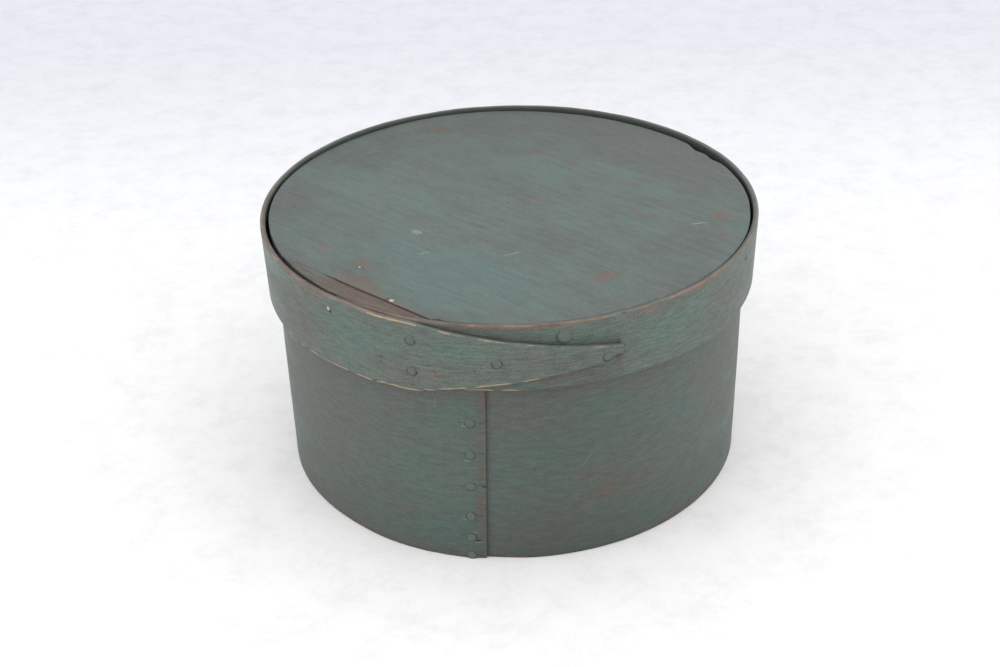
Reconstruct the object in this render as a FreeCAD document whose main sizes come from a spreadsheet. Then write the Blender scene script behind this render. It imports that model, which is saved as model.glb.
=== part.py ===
"""Round box of bent wood with a lapped, lift-off lid.

The box stands on the plane z = 0 with its axis on Z, and the laps of both bands face -Y. Angles are
in degrees round that axis, zero at the front and growing towards +X. Lengths are in millimetres.
"""
import FreeCAD, Part

import math
import os
import re

import Sketcher

# Driving sizes

SIZES = {
    "Body band": {
        "body_height": 122.9,
        "body_mouth_radius": 117.7,
        "body_lean": 2.2,
        "body_wall": 2.6,
        "body_end_wall": 1.2,
        "body_lap_wall": 1.7,
        "body_push_in": 1.0,
        "seam_foot_angle": -7.6,
        "seam_mouth_angle": -6.3,
        "seam_skive_angle": 3.0,
        "seam_flat_angle": 17.0,
        "seam_feather_angle": 20.0,
        "seam_release_angle": 16.0,
    },
    "Both bands": {
        "layer_gap": 0.25,
        "feather_wall": 0.4,
    },
    "Lid band": {
        "lid_band_height": 34.4,
        "lid_rise": 0.9,
        "lid_flare": 1.25,
        "lid_wall": 2.6,
        "lid_running_gap": 0.3,
        "lid_lip_push_in": 0.1,
        "lid_rim_push_in": 0.8,
        "lap_spread_angle": 27.0,
        "lap_flat_angle": 17.0,
        "lap_feather_angle": 20.5,
    },
    "Finger of the lid band": {
        "finger_wall": 2.7,
        "finger_tip_angle": 23.0,
        "finger_shoulder_reach": 46.0,
        "finger_root_reach": 40.0,
        "finger_foot_reach_share": 0.826,
        "finger_break_reach_share": 0.926,
        "finger_top_share": 0.573,
        "finger_foot_share": 0.346,
        "finger_break_share": 0.439,
    },
    "Boards": {
        "bottom_board_thickness": 9.5,
        "bottom_board_gap": 0.15,
        "lid_board_thickness": 9.0,
        "lid_board_gap": 0.25,
        "lid_grain_angle": -41.8,
        "lid_shrink_share": 0.985,
        "crack_setback": 9.9,
        "crack_gap": 0.4,
        "sliver_wear": 0.6,
        "chip_radius": 14.0,
    },
    "Tacks": {
        "tack_head_radius": 2.0,
        "tack_head_height": 0.7,
        "tack_head_sink": 0.3,
        "tack_shank_radius": 0.75,
        "tack_point_radius": 0.2,
        "tack_bend_radius": 1.1,
        "tack_point_length": 4.0,
        "tack_setback": 7.3,
        "rim_tack_head_radius": 3.2,
        "rim_tack_head_height": 1.0,
        "rim_tack_shank_radius": 1.0,
        "rim_tack_length": 12.0,
    },
    "Sprigs": {
        "sprig_head_radius": 1.1,
        "sprig_head_height": 0.5,
        "sprig_shank_radius": 0.7,
        "sprig_point_radius": 0.25,
        "sprig_length": 11.0,
        "nail_point_length": 3.0,
        "lid_nail_height_share": 0.35,
    },
    "Cuts": {
        "nail_clearance": 0.08,
        "overrun": 5.0,
    },
}

# Places of the fasteners and chips. A share of height runs from the foot of the piece to its top, and
# a setback is an angle measured back from the tip of the finger.

BODY_TACK_SHARES = (0.0, 0.09, 0.195, 0.343, 0.493, 0.644, 0.83, 0.942)
FINGER_TACK_SETBACKS_AND_SHARES = ((44.6, 0.738), (44.6, 0.265), (26.6, 0.488))
TIP_TACK_SETBACK_AND_SHARE = (3.6, 0.446)
RIM_TACK_ANGLE = 10.5
LID_SPRIG_ANGLES = (-43.0, 65.0, 118.0, 172.0, -134.0, -86.0)
BOTTOM_SPRIG_ANGLES = (48.0, 98.0, 148.0, -162.0, -112.0, -62.0)
CHIP_ANGLES_AND_BITE_SHARES = ((120.5, 0.18), (114.0, 0.13))

# Sizes that follow from the driving ones

BODY_FOOT_RADIUS = "(body_mouth_radius - body_lean)"
BODY_LAP_BULGE = "(layer_gap + body_lap_wall - body_push_in)"
TACK_PROUD = "(tack_head_height - tack_head_sink)"
LID_LIP_RADIUS = (f"(body_mouth_radius + {BODY_LAP_BULGE} + {TACK_PROUD} + lid_running_gap"
                  " + lid_lip_push_in + lid_wall)")
LID_RIM_RADIUS = f"({LID_LIP_RADIUS} + lid_flare)"
OVERALL_HEIGHT = "(body_height + lid_board_thickness + lid_rise)"
LIP_HEIGHT = f"({OVERALL_HEIGHT} - lid_band_height)"
SEAM_FRONT = "- seam_skive_angle"
SEAM_BACK = f"{SEAM_FRONT} - seam_flat_angle"
SEAM_FEATHER = f"{SEAM_BACK} - seam_feather_angle"
LAP_FRONT = "finger_tip_angle - lap_spread_angle"
LAP_BACK = f"{LAP_FRONT} - lap_flat_angle"
LAP_FEATHER = f"{LAP_BACK} - lap_feather_angle"
FINGER_BULGE = "(layer_gap + finger_wall)"
FINGER_TIP_REACH = f"({LID_RIM_RADIUS} * sin(finger_tip_angle))"

doc = FreeCAD.newDocument("bentwood_box")
sheet = doc.addObject("Spreadsheet::Sheet", "Sizes")
ALIASES = {alias for sizes in SIZES.values() for alias in sizes}


def fill_sheet():
    """Write every driving size into the sheet, one row each."""
    row = 1
    for heading, sizes in SIZES.items():
        sheet.set(f"A{row}", heading)
        row += 1
        for alias, size in sizes.items():
            sheet.set(f"A{row}", alias.replace("_", " "))
            sheet.set(f"B{row}", str(size))
            sheet.setAlias(f"B{row}", alias)
            row += 1
    doc.recompute()


def bound(formula):
    """Point each size named in a formula at its cell in the sheet."""
    return re.sub("[a-z_]+", lambda word: f"Sizes.{word[0]}" if word[0] in ALIASES else word[0], str(formula))


def value(formula):
    """Work out a formula with the sizes as they stand."""
    return float(sheet.evalExpression(bound(formula)))


def bind(feature, **formulas):
    """Bind properties of a feature, such as Radius, to formulas."""
    for name, formula in formulas.items():
        feature.setExpression(name, bound(formula))


def place(feature, x="0", y="0", z="0", yaw="0"):
    """Bind where a feature stands and how far it is turned about the vertical."""
    feature.setExpression("Placement.Base.x", bound(x))
    feature.setExpression("Placement.Base.y", bound(y))
    feature.setExpression("Placement.Base.z", bound(z))
    if yaw != "0":
        feature.setExpression("Placement.Rotation.Yaw", bound(yaw))


def spot(angle, radius):
    """X and Y of the point at an angle round the box and a distance from its axis."""
    return f"({radius}) * sin({angle})", f"-({radius}) * cos({angle})"


def body_radius(height):
    """Outer radius of the single body wall at a height."""
    return f"({BODY_FOOT_RADIUS} + body_lean * ({height}) / body_height)"


def lid_share(height):
    """How far up the lid band a height lies."""
    return f"((({height}) - {LIP_HEIGHT}) / lid_band_height)"


def lid_radius(height):
    """Outer radius of the single lid wall at a height."""
    return f"({LID_LIP_RADIUS} + lid_flare * {lid_share(height)})"


def lid_push_in(height):
    """How far the lap presses the inner layer of the lid band inwards at a height."""
    return f"(lid_lip_push_in + (lid_rim_push_in - lid_lip_push_in) * {lid_share(height)})"


# Outlines seen from above. A station is an angle, a radius and how the outline runs on from there:
# round the axis, in a blend of two arcs that meet in tangency, or straight.

ROUND, BLEND, STRAIGHT = "round", "blend", "straight"


def trace(stations):
    """Turn stations into corners and the edges that leave them.

    An edge is None when straight. An arc is its radius, its centre and whether it runs anticlockwise.
    """
    corners = []
    edges = []
    for here, there in zip(stations, stations[1:] + stations[:1]):
        angle, radius, run = here
        next_angle, next_radius, _ = there
        onwards = value(next_angle) > value(angle)
        corners.append(spot(angle, radius))
        if run == STRAIGHT:
            edges.append(None)
        if run == ROUND:
            edges.append((radius, ("0", "0"), onwards))
        if run == BLEND:
            half_turn = f"(({next_angle}) - ({angle})) / 2"
            shift = f"((({radius}) - ({next_radius})) / (2 - 2 * cos({half_turn})))"
            first = f"(({radius}) - {shift})"
            second = f"(({next_radius}) + {shift})"
            middle = spot(f"(({angle}) + ({next_angle})) / 2", second)
            centre = spot(next_angle, f"-{shift}")
            edges.append((first, spot(angle, shift), onwards))
            corners.append(tuple(f"{a} + {b}" for a, b in zip(middle, centre)))
            edges.append((second, centre, onwards))
    return corners, edges


def band_stations(radius, wall, end_wall, lap_wall, push_in, end_push_in, end_run, end, front, back,
                  feather, release):
    """Outline of a strip bent round on itself, out along its outer face and back along its inner one.

    The outer layer ends at end, from where its face runs on as end_run. Between front and back both
    layers lie flat on each other, and the inner one is pushed inwards. It thins out towards its hidden
    end at feather, and past release the wall is single and truly round.
    """
    under_end = f"{radius} - {end_push_in} + layer_gap"
    pushed = f"{radius} - {push_in}"
    covered = f"{pushed} + layer_gap"
    inside = f"{radius} - {wall}"
    tail = f"{inside} - layer_gap"
    return [
        (end, f"{under_end} + {end_wall}", end_run),
        (front, f"{covered} + {lap_wall}", ROUND),
        (back, f"{covered} + {lap_wall}", BLEND),
        (feather, radius, ROUND),
        (f"{release} - 360", radius, BLEND),
        (f"{front} - 360", pushed, ROUND),
        (f"{back} - 360", pushed, BLEND),
        (f"{feather} - 360", tail, STRAIGHT),
        (f"{feather} - 360", f"{tail} - feather_wall", BLEND),
        (f"{back} - 360", f"{pushed} - {wall}", ROUND),
        (f"{front} - 360", f"{pushed} - {wall}", BLEND),
        (f"{release} - 360", inside, ROUND),
        (feather, inside, BLEND),
        (back, covered, ROUND),
        (front, covered, BLEND),
        (end, under_end, STRAIGHT),
    ]


def body_stations(radius, seam):
    """Outline of the body band where the outer layer ends at the seam."""
    return band_stations(radius, "body_wall", "body_end_wall", "body_lap_wall", "body_push_in",
                         "body_push_in", STRAIGHT, seam, f"{seam} {SEAM_FRONT}", f"{seam} {SEAM_BACK}",
                         f"{seam} {SEAM_FEATHER}", f"{seam} + seam_release_angle")


def bottom_stations(radius, seam):
    """Outline of the board that is shaved to fit inside the body band."""
    inside = f"{radius} - body_wall - bottom_board_gap"
    step = f"{inside} - layer_gap - feather_wall"
    return [
        (f"{seam} {SEAM_FEATHER} - 360", step, BLEND),
        (f"{seam} {SEAM_BACK} - 360", f"{inside} - body_push_in", ROUND),
        (f"{seam} {SEAM_FRONT} - 360", f"{inside} - body_push_in", BLEND),
        (f"{seam} + seam_release_angle - 360", inside, ROUND),
        (f"{seam} {SEAM_FEATHER}", inside, STRAIGHT),
    ]


def lid_stations(height):
    """Outline of the lid band at a height, before the finger is cut to shape."""
    return band_stations(lid_radius(height), "lid_wall", "finger_wall", "finger_wall", lid_push_in(height),
                         "0", BLEND, "finger_tip_angle", LAP_FRONT, LAP_BACK, LAP_FEATHER,
                         "finger_tip_angle")


def core_stations(height):
    """Outline of all that lies under the finger, out to the middle of the gap between the layers."""
    radius = f"{lid_radius(height)} + layer_gap / 2"
    pushed = f"{radius} - {lid_push_in(height)}"
    return [
        (LAP_BACK, pushed, ROUND),
        (LAP_FRONT, pushed, BLEND),
        ("finger_tip_angle", radius, ROUND),
        (f"{LAP_BACK} + 360", radius, STRAIGHT),
    ]


# Sketches and features


def draw(body, name, role, corners, edges, offset="0"):
    """Draw a closed sketch on one of a body's own planes, with every corner and radius bound."""
    sketch = body.newObject("Sketcher::SketchObject", name)
    plane = next(feature for feature in body.Origin.OriginFeatures if feature.Role == role)
    sketch.AttachmentSupport = (plane, [""])
    sketch.MapMode = "FlatFace"
    sketch.setExpression("AttachmentOffset.Base.z", bound(offset))
    points = [FreeCAD.Vector(value(x), value(y), 0) for x, y in corners]
    near_ends = []
    far_ends = []
    for number, edge in enumerate(edges):
        near, far = points[number], points[(number + 1) % len(points)]
        onwards = edge is None or edge[2]
        near_ends.append(1 if onwards else 2)
        far_ends.append(2 if onwards else 1)
        if edge is None:
            sketch.addGeometry(Part.LineSegment(near, far))
            continue
        radius, (x, y), _ = edge
        centre = FreeCAD.Vector(value(x), value(y), 0)
        first, last = (near - centre, far - centre) if onwards else (far - centre, near - centre)
        start = math.atan2(first.y, first.x)
        end = math.atan2(last.y, last.x)
        circle = Part.Circle(centre, FreeCAD.Vector(0, 0, 1), value(radius))
        sketch.addGeometry(Part.ArcOfCircle(circle, start, end if end > start else end + math.tau))

    constraints = []
    formulas = {}
    for number, (corner, edge) in enumerate(zip(corners, edges)):
        constraints.append(Sketcher.Constraint(
            "Coincident", number - 1 if number else len(edges) - 1, far_ends[number - 1],
            number, near_ends[number]))
        for kind, formula in zip(("DistanceX", "DistanceY"), corner):
            formulas[len(constraints)] = formula
            constraints.append(Sketcher.Constraint(
                kind, -1, 1, number, near_ends[number], value(formula)))
        if edge is not None:
            formulas[len(constraints)] = edge[0]
            constraints.append(Sketcher.Constraint("Radius", number, value(edge[0])))
    sketch.addConstraint(constraints)
    for number, formula in formulas.items():
        sketch.setExpression(f"Constraints[{number}]", bound(formula))
    return sketch


def loft(name, low, high, low_stations, high_stations):
    """A body ruled between an outline at a low height and one at a high height."""
    body = doc.addObject("PartDesign::Body", name)
    foot = draw(body, f"{name}_foot", "XY_Plane", *trace(low_stations), offset=low)
    head = draw(body, f"{name}_head", "XY_Plane", *trace(high_stations), offset=high)
    doc.recompute()
    ruled = body.newObject("PartDesign::AdditiveLoft", f"{name}_loft")
    ruled.Profile = foot
    ruled.Sections = [head]
    ruled.Ruled = True
    doc.recompute()
    return body


def join(name, pieces):
    """Fuse the pieces of a fastener or of a cutting tool."""
    fused = doc.addObject("Part::MultiFuse", name)
    fused.Shapes = pieces
    return fused


def cut(name, base, tool):
    """What is left of a piece once a tool has been taken out of it."""
    rest = doc.addObject("Part::Cut", name)
    rest.Base = base
    rest.Tool = tool
    return rest


def rod(name, radius, length, start, tip_radius=None):
    """A round rod that runs inwards, along +Y, and may taper."""
    if tip_radius is None:
        piece = doc.addObject("Part::Cylinder", name)
        bind(piece, Radius=radius, Height=length)
    else:
        piece = doc.addObject("Part::Cone", name)
        bind(piece, Radius1=radius, Radius2=tip_radius, Height=length)
    piece.Placement.Rotation = FreeCAD.Rotation(FreeCAD.Vector(1, 0, 0), -90)
    place(piece, y=start)
    return piece


def domed_head(name, radius, height, sink):
    """A shallow dome that looks outwards, along -Y, with its flat underside sunk in the wood."""
    sphere_radius = f"(({radius} ^ 2 + {height} ^ 2) / (2 * {height}))"
    dome = doc.addObject("Part::Sphere", name)
    bind(dome, Radius=sphere_radius, Angle1=f"asin(1 - {height} / {sphere_radius})")
    dome.Placement.Rotation = FreeCAD.Rotation(FreeCAD.Vector(1, 0, 0), 90)
    place(dome, y=f"{sink} + {sphere_radius} - {height}")
    return dome


def clinched_tack(name, grip):
    """A tack through two layers, its point bent up and driven flush into the inner face."""
    bend = f"({grip} - tack_shank_radius - tack_bend_radius)"
    elbow = doc.addObject("Part::Torus", f"{name}_elbow")
    bind(elbow, Radius1="tack_bend_radius", Radius2="tack_shank_radius")
    elbow.Angle3 = 90
    elbow.Placement.Rotation = FreeCAD.Rotation(FreeCAD.Vector(0, 1, 0), 90)
    place(elbow, y=bend, z="tack_bend_radius")
    point = doc.addObject("Part::Cone", f"{name}_point")
    bind(point, Radius1="tack_shank_radius", Radius2="tack_point_radius", Height="tack_point_length")
    place(point, y=f"{bend} + tack_bend_radius", z="tack_bend_radius")
    return join(name, [
        domed_head(f"{name}_head", "tack_head_radius", "tack_head_height", "tack_head_sink"),
        rod(f"{name}_shank", "tack_shank_radius", f"{bend} - tack_head_sink", "tack_head_sink"),
        elbow,
        point,
    ])


def clinched_tack_hole(name, grip):
    """The seat of a clinched tack: a shallow recess, a hole and a groove for its point."""
    bend = f"({grip} - tack_shank_radius - tack_bend_radius)"
    hole_radius = "(tack_shank_radius + nail_clearance)"
    groove = doc.addObject("Part::Box", f"{name}_groove")
    bind(groove, Length=f"2 * {hole_radius}", Width=f"{grip} - {bend} + overrun",
         Height=f"{hole_radius} + tack_bend_radius + tack_point_length + nail_clearance")
    place(groove, x=f"-{hole_radius}", y=bend, z=f"-{hole_radius}")
    return join(name, [
        rod(f"{name}_recess", "tack_head_radius + nail_clearance", "overrun + tack_head_sink", "-overrun"),
        rod(f"{name}_bore", hole_radius, f"{bend} + tack_bend_radius", "0"),
        groove,
    ])


def nail(name, head, shank_radius, length, start):
    """A straight nail under a head, with a tapered point."""
    neck = f"({length} - nail_point_length)"
    return join(name, [
        head,
        rod(f"{name}_shank", shank_radius, f"{neck} - {start}", start),
        rod(f"{name}_point", shank_radius, "nail_point_length", neck, "sprig_point_radius"),
    ])


def nail_hole(name, head_radius, shank_radius, length, sink):
    """The seat of a straight nail: a recess for its head and a hole with a tapered end."""
    neck = f"({length} - nail_point_length)"
    bore_radius = f"{shank_radius} + nail_clearance"
    return join(name, [
        rod(f"{name}_recess", f"{head_radius} + nail_clearance", f"overrun + {sink}", "-overrun"),
        rod(f"{name}_bore", bore_radius, neck, "0"),
        rod(f"{name}_bore_end", bore_radius, "nail_point_length + nail_clearance", neck,
            "sprig_point_radius + nail_clearance"),
    ])


def spread(name, master, places):
    """Set a copy of a fastener, or of its hole, at each angle, height and radius, as one group."""
    copies = []
    for number, (angle, height, radius) in enumerate(places, start=1):
        copy = doc.addObject("App::Link", f"{name}_{number}")
        copy.setLink(master)
        x, y = spot(angle, radius)
        place(copy, x, y, height, angle)
        copies.append(copy)
    group = doc.addObject("Part::Compound", name)
    group.Links = copies
    return group


def seated(name, fastener, hole, places):
    """A group of fasteners and the group of their holes."""
    return spread(name, fastener, places), spread(f"{name}_holes", hole, places)


# Fasteners

fill_sheet()

body_tack_places = []
for share in BODY_TACK_SHARES:
    height = f"(tack_head_radius + {share} * (body_height - 2 * tack_head_radius))"
    seam = f"seam_foot_angle + (seam_mouth_angle - seam_foot_angle) * {height} / body_height"
    lap_radius = f"{body_radius(height)} + {BODY_LAP_BULGE}"
    angle = f"{seam} - tack_setback / ({lap_radius}) * 180 / pi"
    body_tack_places.append((angle, height, lap_radius))
body_grip = "(body_lap_wall + layer_gap + body_wall)"
body_seam_tacks, body_tack_holes = seated(
    "body_seam_tacks", clinched_tack("body_tack", body_grip),
    clinched_tack_hole("body_tack_hole", body_grip), body_tack_places)

finger_tack_places = []
for setback, share in FINGER_TACK_SETBACKS_AND_SHARES:
    height = f"({LIP_HEIGHT} + {share} * lid_band_height)"
    finger_tack_places.append((f"finger_tip_angle - {setback}", height,
                               f"{lid_radius(height)} + {FINGER_BULGE} - {lid_push_in(height)}"))
setback, share = TIP_TACK_SETBACK_AND_SHARE
height = f"({LIP_HEIGHT} + {share} * lid_band_height)"
finger_tack_places.append((f"finger_tip_angle - {setback}", height, f"{lid_radius(height)} + {FINGER_BULGE}"))
finger_grip = "(finger_wall + layer_gap + lid_wall)"
lid_finger_tacks, finger_tack_holes = seated(
    "lid_finger_tacks", clinched_tack("finger_tack", finger_grip),
    clinched_tack_hole("finger_tack_hole", finger_grip), finger_tack_places)

lid_nail_height = "(body_height + lid_nail_height_share * lid_board_thickness)"
rim_tack_head = domed_head("rim_tack_head", "rim_tack_head_radius", "rim_tack_head_height", "tack_head_sink")
lid_rim_tack, rim_tack_holes = seated(
    "lid_rim_tack",
    nail("rim_tack", rim_tack_head, "rim_tack_shank_radius", "rim_tack_length", "tack_head_sink"),
    nail_hole("rim_tack_hole", "rim_tack_head_radius", "rim_tack_shank_radius", "rim_tack_length", "tack_head_sink"),
    [(RIM_TACK_ANGLE, lid_nail_height, f"{lid_radius(lid_nail_height)} - {lid_push_in(lid_nail_height)} / 2")])

sprig_head = rod("sprig_head", "sprig_head_radius", "sprig_head_height", "0")
sprig = nail("sprig", sprig_head, "sprig_shank_radius", "sprig_length", "sprig_head_height")
sprig_hole = nail_hole("sprig_hole", "sprig_head_radius", "sprig_shank_radius", "sprig_length", "sprig_head_height")
lid_rim_sprigs, lid_sprig_holes = seated(
    "lid_rim_sprigs", sprig, sprig_hole,
    [(angle, lid_nail_height, lid_radius(lid_nail_height)) for angle in LID_SPRIG_ANGLES])
bottom_nail_height = "(bottom_board_thickness / 2)"
bottom_sprigs, bottom_sprig_holes = seated(
    "bottom_sprigs", sprig, sprig_hole,
    [(angle, bottom_nail_height, body_radius(bottom_nail_height)) for angle in BOTTOM_SPRIG_ANGLES])

# Body: the lapped band and the board inside its foot

body_strip = loft("body_strip", "0", "body_height",
                  body_stations(body_radius("0"), "seam_foot_angle"),
                  body_stations(body_radius("body_height"), "seam_mouth_angle"))
body_band = cut("body_band", body_strip, join("body_band_holes", [body_tack_holes, bottom_sprig_holes]))

board_seam = ("(seam_foot_angle + (seam_mouth_angle - seam_foot_angle)"
              " * bottom_board_thickness / body_height)")
bottom_disc = loft("bottom_disc", "0", "bottom_board_thickness",
                   bottom_stations(body_radius("0"), "seam_foot_angle"),
                   bottom_stations(body_radius("bottom_board_thickness"), board_seam))
bottom_board = cut("bottom_board", bottom_disc, bottom_sprig_holes)

# Lid band: a strip whose outer end is cut to a tapered finger with a broken lower corner

lid_strip = loft("lid_strip", LIP_HEIGHT, OVERALL_HEIGHT, lid_stations(LIP_HEIGHT), lid_stations(OVERALL_HEIGHT))
finger_core = loft("finger_core", LIP_HEIGHT, OVERALL_HEIGHT,
                   core_stations(LIP_HEIGHT), core_stations(OVERALL_HEIGHT))
past_tip = f"{FINGER_TIP_REACH} + overrun"
finger_top = f"{LIP_HEIGHT} + finger_top_share * lid_band_height"
finger_break = f"{LIP_HEIGHT} + finger_break_share * lid_band_height"
above_finger = [
    ("-finger_shoulder_reach", OVERALL_HEIGHT),
    (FINGER_TIP_REACH, finger_top),
    (past_tip, finger_top),
    (past_tip, f"{OVERALL_HEIGHT} + overrun"),
    ("-finger_shoulder_reach", f"{OVERALL_HEIGHT} + overrun"),
]
below_finger = [
    ("-finger_root_reach", LIP_HEIGHT),
    (f"finger_foot_reach_share * {FINGER_TIP_REACH}", f"{LIP_HEIGHT} + finger_foot_share * lid_band_height"),
    (f"finger_break_reach_share * {FINGER_TIP_REACH}", finger_break),
    (past_tip, finger_break),
    (past_tip, f"{LIP_HEIGHT} - overrun"),
    ("-finger_root_reach", f"{LIP_HEIGHT} - overrun"),
]
finger_waste = []
for name, corners in (("waste_above_finger", above_finger), ("waste_below_finger", below_finger)):
    block = doc.addObject("PartDesign::Body", name)
    outline = draw(block, f"{name}_outline", "XZ_Plane", corners, [None] * len(corners))
    pad = block.newObject("PartDesign::Pad", f"{name}_pad")
    pad.Profile = outline
    bind(pad, Length=f"{LID_RIM_RADIUS} + {FINGER_BULGE} + overrun")
    finger_waste.append(cut(f"{name}_outside", block, finger_core))
lid_band = cut("lid_band", lid_strip, join("lid_band_cuts", finger_waste + [
    finger_tack_holes, rim_tack_holes, lid_sprig_holes]))

# Lid board: shrunk across its grain, chipped at the back right and split at the front left

grain_radius = f"({lid_radius('body_height')} - lid_wall - lid_board_gap)"
cross_radius = f"({grain_radius} * lid_shrink_share)"


def lid_disc(name, thickness):
    """The oval that a round board shrinks to."""
    oval = doc.addObject("Part::Ellipse", f"{name}_outline")
    bind(oval, MajorRadius=grain_radius, MinorRadius=cross_radius)
    place(oval, z="body_height", yaw="lid_grain_angle")
    disc = doc.addObject("Part::Extrusion", name)
    disc.Base = oval
    disc.DirMode = "Custom"
    disc.Dir = FreeCAD.Vector(0, 0, 1)
    disc.Solid = True
    bind(disc, LengthFwd=thickness)
    return disc


def beyond_crack(name, setback):
    """A block along the grain that holds all the wood on the outer side of the crack."""
    block = doc.addObject("Part::Box", name)
    along = f"-({grain_radius} + overrun)"
    across = f"-({cross_radius} + overrun)"
    bind(block, Length=f"-2 * {along}", Width=f"overrun + {setback}",
         Height="lid_board_thickness + 2 * overrun")
    place(block, x=f"{along} * cos(lid_grain_angle) - {across} * sin(lid_grain_angle)",
          y=f"{along} * sin(lid_grain_angle) + {across} * cos(lid_grain_angle)",
          z="body_height - overrun", yaw="lid_grain_angle")
    return block


chips = []
for number, (angle, bite_share) in enumerate(CHIP_ANGLES_AND_BITE_SHARES, start=1):
    chip = doc.addObject("Part::Cylinder", f"chip_{number}")
    bind(chip, Radius="chip_radius", Height="lid_board_thickness + 2 * overrun")
    place(chip, *spot(angle, f"{cross_radius} + chip_radius * (1 - {bite_share})"), "body_height - overrun")
    chips.append(chip)
board_nail_holes = join("board_nail_holes", [rim_tack_holes, lid_sprig_holes])
lid_board = cut("lid_board", lid_disc("lid_disc", "lid_board_thickness"),
                join("lid_board_cuts", chips + [beyond_crack("main_crack", "crack_setback"), board_nail_holes]))
sliver_blank = doc.addObject("Part::Common", "sliver_blank")
sliver_blank.Base = lid_disc("sliver_disc", "lid_board_thickness - sliver_wear")
sliver_blank.Tool = beyond_crack("sliver_crack", "crack_setback - crack_gap")
lid_board_sliver = cut("lid_board_sliver", sliver_blank, board_nail_holes)

# Output

SUB_PARTS = (body_band, bottom_board, body_seam_tacks, bottom_sprigs, lid_band, lid_board,
             lid_board_sliver, lid_finger_tacks, lid_rim_tack, lid_rim_sprigs)

doc.recompute()
for feature in doc.Objects:
    if {"Invalid", "Error"} & set(feature.State):
        raise RuntimeError(f"{feature.Name} could not be built")
for sub_part in SUB_PARTS:
    if sub_part.Shape.isNull() or not sub_part.Shape.isValid():
        raise RuntimeError(f"{sub_part.Label} has no valid shape")
os.makedirs("parts", exist_ok=True)
for sub_part in SUB_PARTS:
    sub_part.Shape.exportStep(f"parts/{sub_part.Label}.step")
    box = sub_part.Shape.BoundBox
    print(f"{sub_part.Label}: {len(sub_part.Shape.Solids)} solids, {sub_part.Shape.Volume:.0f} mm3, "
          f"x {box.XMin:.2f} {box.XMax:.2f}, y {box.YMin:.2f} {box.YMax:.2f}, z {box.ZMin:.2f} {box.ZMax:.2f}")
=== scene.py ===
import logging
import math
import random
from dataclasses import dataclass, field
from enum import Enum

import bpy
import numpy as np
from mathutils import Matrix, Vector


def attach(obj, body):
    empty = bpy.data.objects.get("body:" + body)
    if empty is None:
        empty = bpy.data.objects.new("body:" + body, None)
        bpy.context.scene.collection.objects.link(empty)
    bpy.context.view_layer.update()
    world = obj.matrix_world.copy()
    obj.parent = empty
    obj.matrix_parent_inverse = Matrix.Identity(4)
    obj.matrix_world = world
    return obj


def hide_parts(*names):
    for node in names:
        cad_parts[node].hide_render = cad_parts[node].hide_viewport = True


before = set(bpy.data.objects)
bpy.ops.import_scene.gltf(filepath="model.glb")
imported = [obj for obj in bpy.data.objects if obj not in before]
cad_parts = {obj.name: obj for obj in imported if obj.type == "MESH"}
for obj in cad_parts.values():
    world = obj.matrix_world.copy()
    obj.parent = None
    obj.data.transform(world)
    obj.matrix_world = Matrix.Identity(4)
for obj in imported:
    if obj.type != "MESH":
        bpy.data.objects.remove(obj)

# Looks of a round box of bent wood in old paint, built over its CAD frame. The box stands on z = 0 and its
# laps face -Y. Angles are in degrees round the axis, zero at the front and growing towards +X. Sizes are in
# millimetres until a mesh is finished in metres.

LOG = logging.getLogger("bentwood_box")
MM = 0.001
FULL_TURN = 360.0
ARC = 2.1  # length of one degree round the lid, in millimetres

Colour = tuple[float, float, float, float]
Pair = tuple[float, float]
Array = np.ndarray
Socket = bpy.types.NodeSocket
Piece = bpy.types.Object


def srgb(red: int, green: int, blue: int) -> Colour:
    """Turn a screen colour, 0 to 255, into the linear one that nodes take."""
    shares = (channel / 255 for channel in (red, green, blue))
    return (*(s / 12.92 if s <= 0.04045 else ((s + 0.055) / 1.055) ** 2.4 for s in shares), 1.0)


def around(angle: Array, radius: Array, height: Array) -> Array:
    """Points in metres at angles round the box, at radii and heights in millimetres."""
    turn = np.radians(angle)
    return np.stack((radius * np.sin(turn), -radius * np.cos(turn), height), axis=1) * MM


def bell(distance: Array, width: float) -> Array:
    """A smooth hump that is 1 at distance zero and has faded out at about twice the width."""
    return np.exp(-(distance / width) ** 2)


def wrap(angle: Array) -> Array:
    """Angles brought into the range from -180 to 180."""
    return (angle + 180) % FULL_TURN - 180


def climb(value: Array, low: float, high: float) -> Array:
    """A smooth step from 0 to 1 as a value goes from low to high, or from high to low if low is larger."""
    share = np.clip((value - low) / (high - low), 0, 1)
    return share * share * (3 - 2 * share)


def window(value: Array, rise: Pair, fall: Pair) -> Array:
    """A smooth hump that rises from 0 to 1 over one range and falls back over the other."""
    return climb(value, *rise) * climb(value, *fall)


class Ripple:
    """A smooth, seeded wobble: a sum of sine waves over two coordinates."""

    def __init__(self, seed: int, longest: float, shortest: float, waves: int = 14) -> None:
        """Draw the waves.

        Args:
            seed: Start of the random numbers.
            longest: Longest wavelength, in the units of the coordinates.
            shortest: Shortest wavelength.
            waves: How many waves are summed.
        """
        draw = random.Random(seed)
        self.waves = []
        for _ in range(waves):
            length = longest * (shortest / longest) ** draw.random()
            heading = draw.uniform(0, math.tau)
            self.waves.append((math.cos(heading) * math.tau / length, math.sin(heading) * math.tau / length,
                               draw.uniform(0, math.tau), (length / longest) ** 0.6))

    def at(self, first: Array, second: Array | float = 0.0) -> Array:
        """Height of the wobble, roughly from -1 to 1, at each pair of coordinates."""
        total = sum(size * np.sin(first * a + second * b + phase) for a, b, phase, size in self.waves)
        peak = 1.6 * math.sqrt(sum(size ** 2 for *_, size in self.waves))
        return total / peak


class Age(Enum):
    """Amounts of ageing, of painted shade and of painted highlights that a mesh stores per vertex."""

    THIN = "thin"
    RED = "red"
    WEAR = "wear"
    # Freshly bared wood, and painted highlights along edges and on a sprig head.
    RAW = "raw_and_highlight"
    # Darkening for dirty places and for painted shade: corners, recesses, gaps, round the finger, towards the
    # foot.
    GRIME_AND_SHADE = "grime_and_shade"


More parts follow.
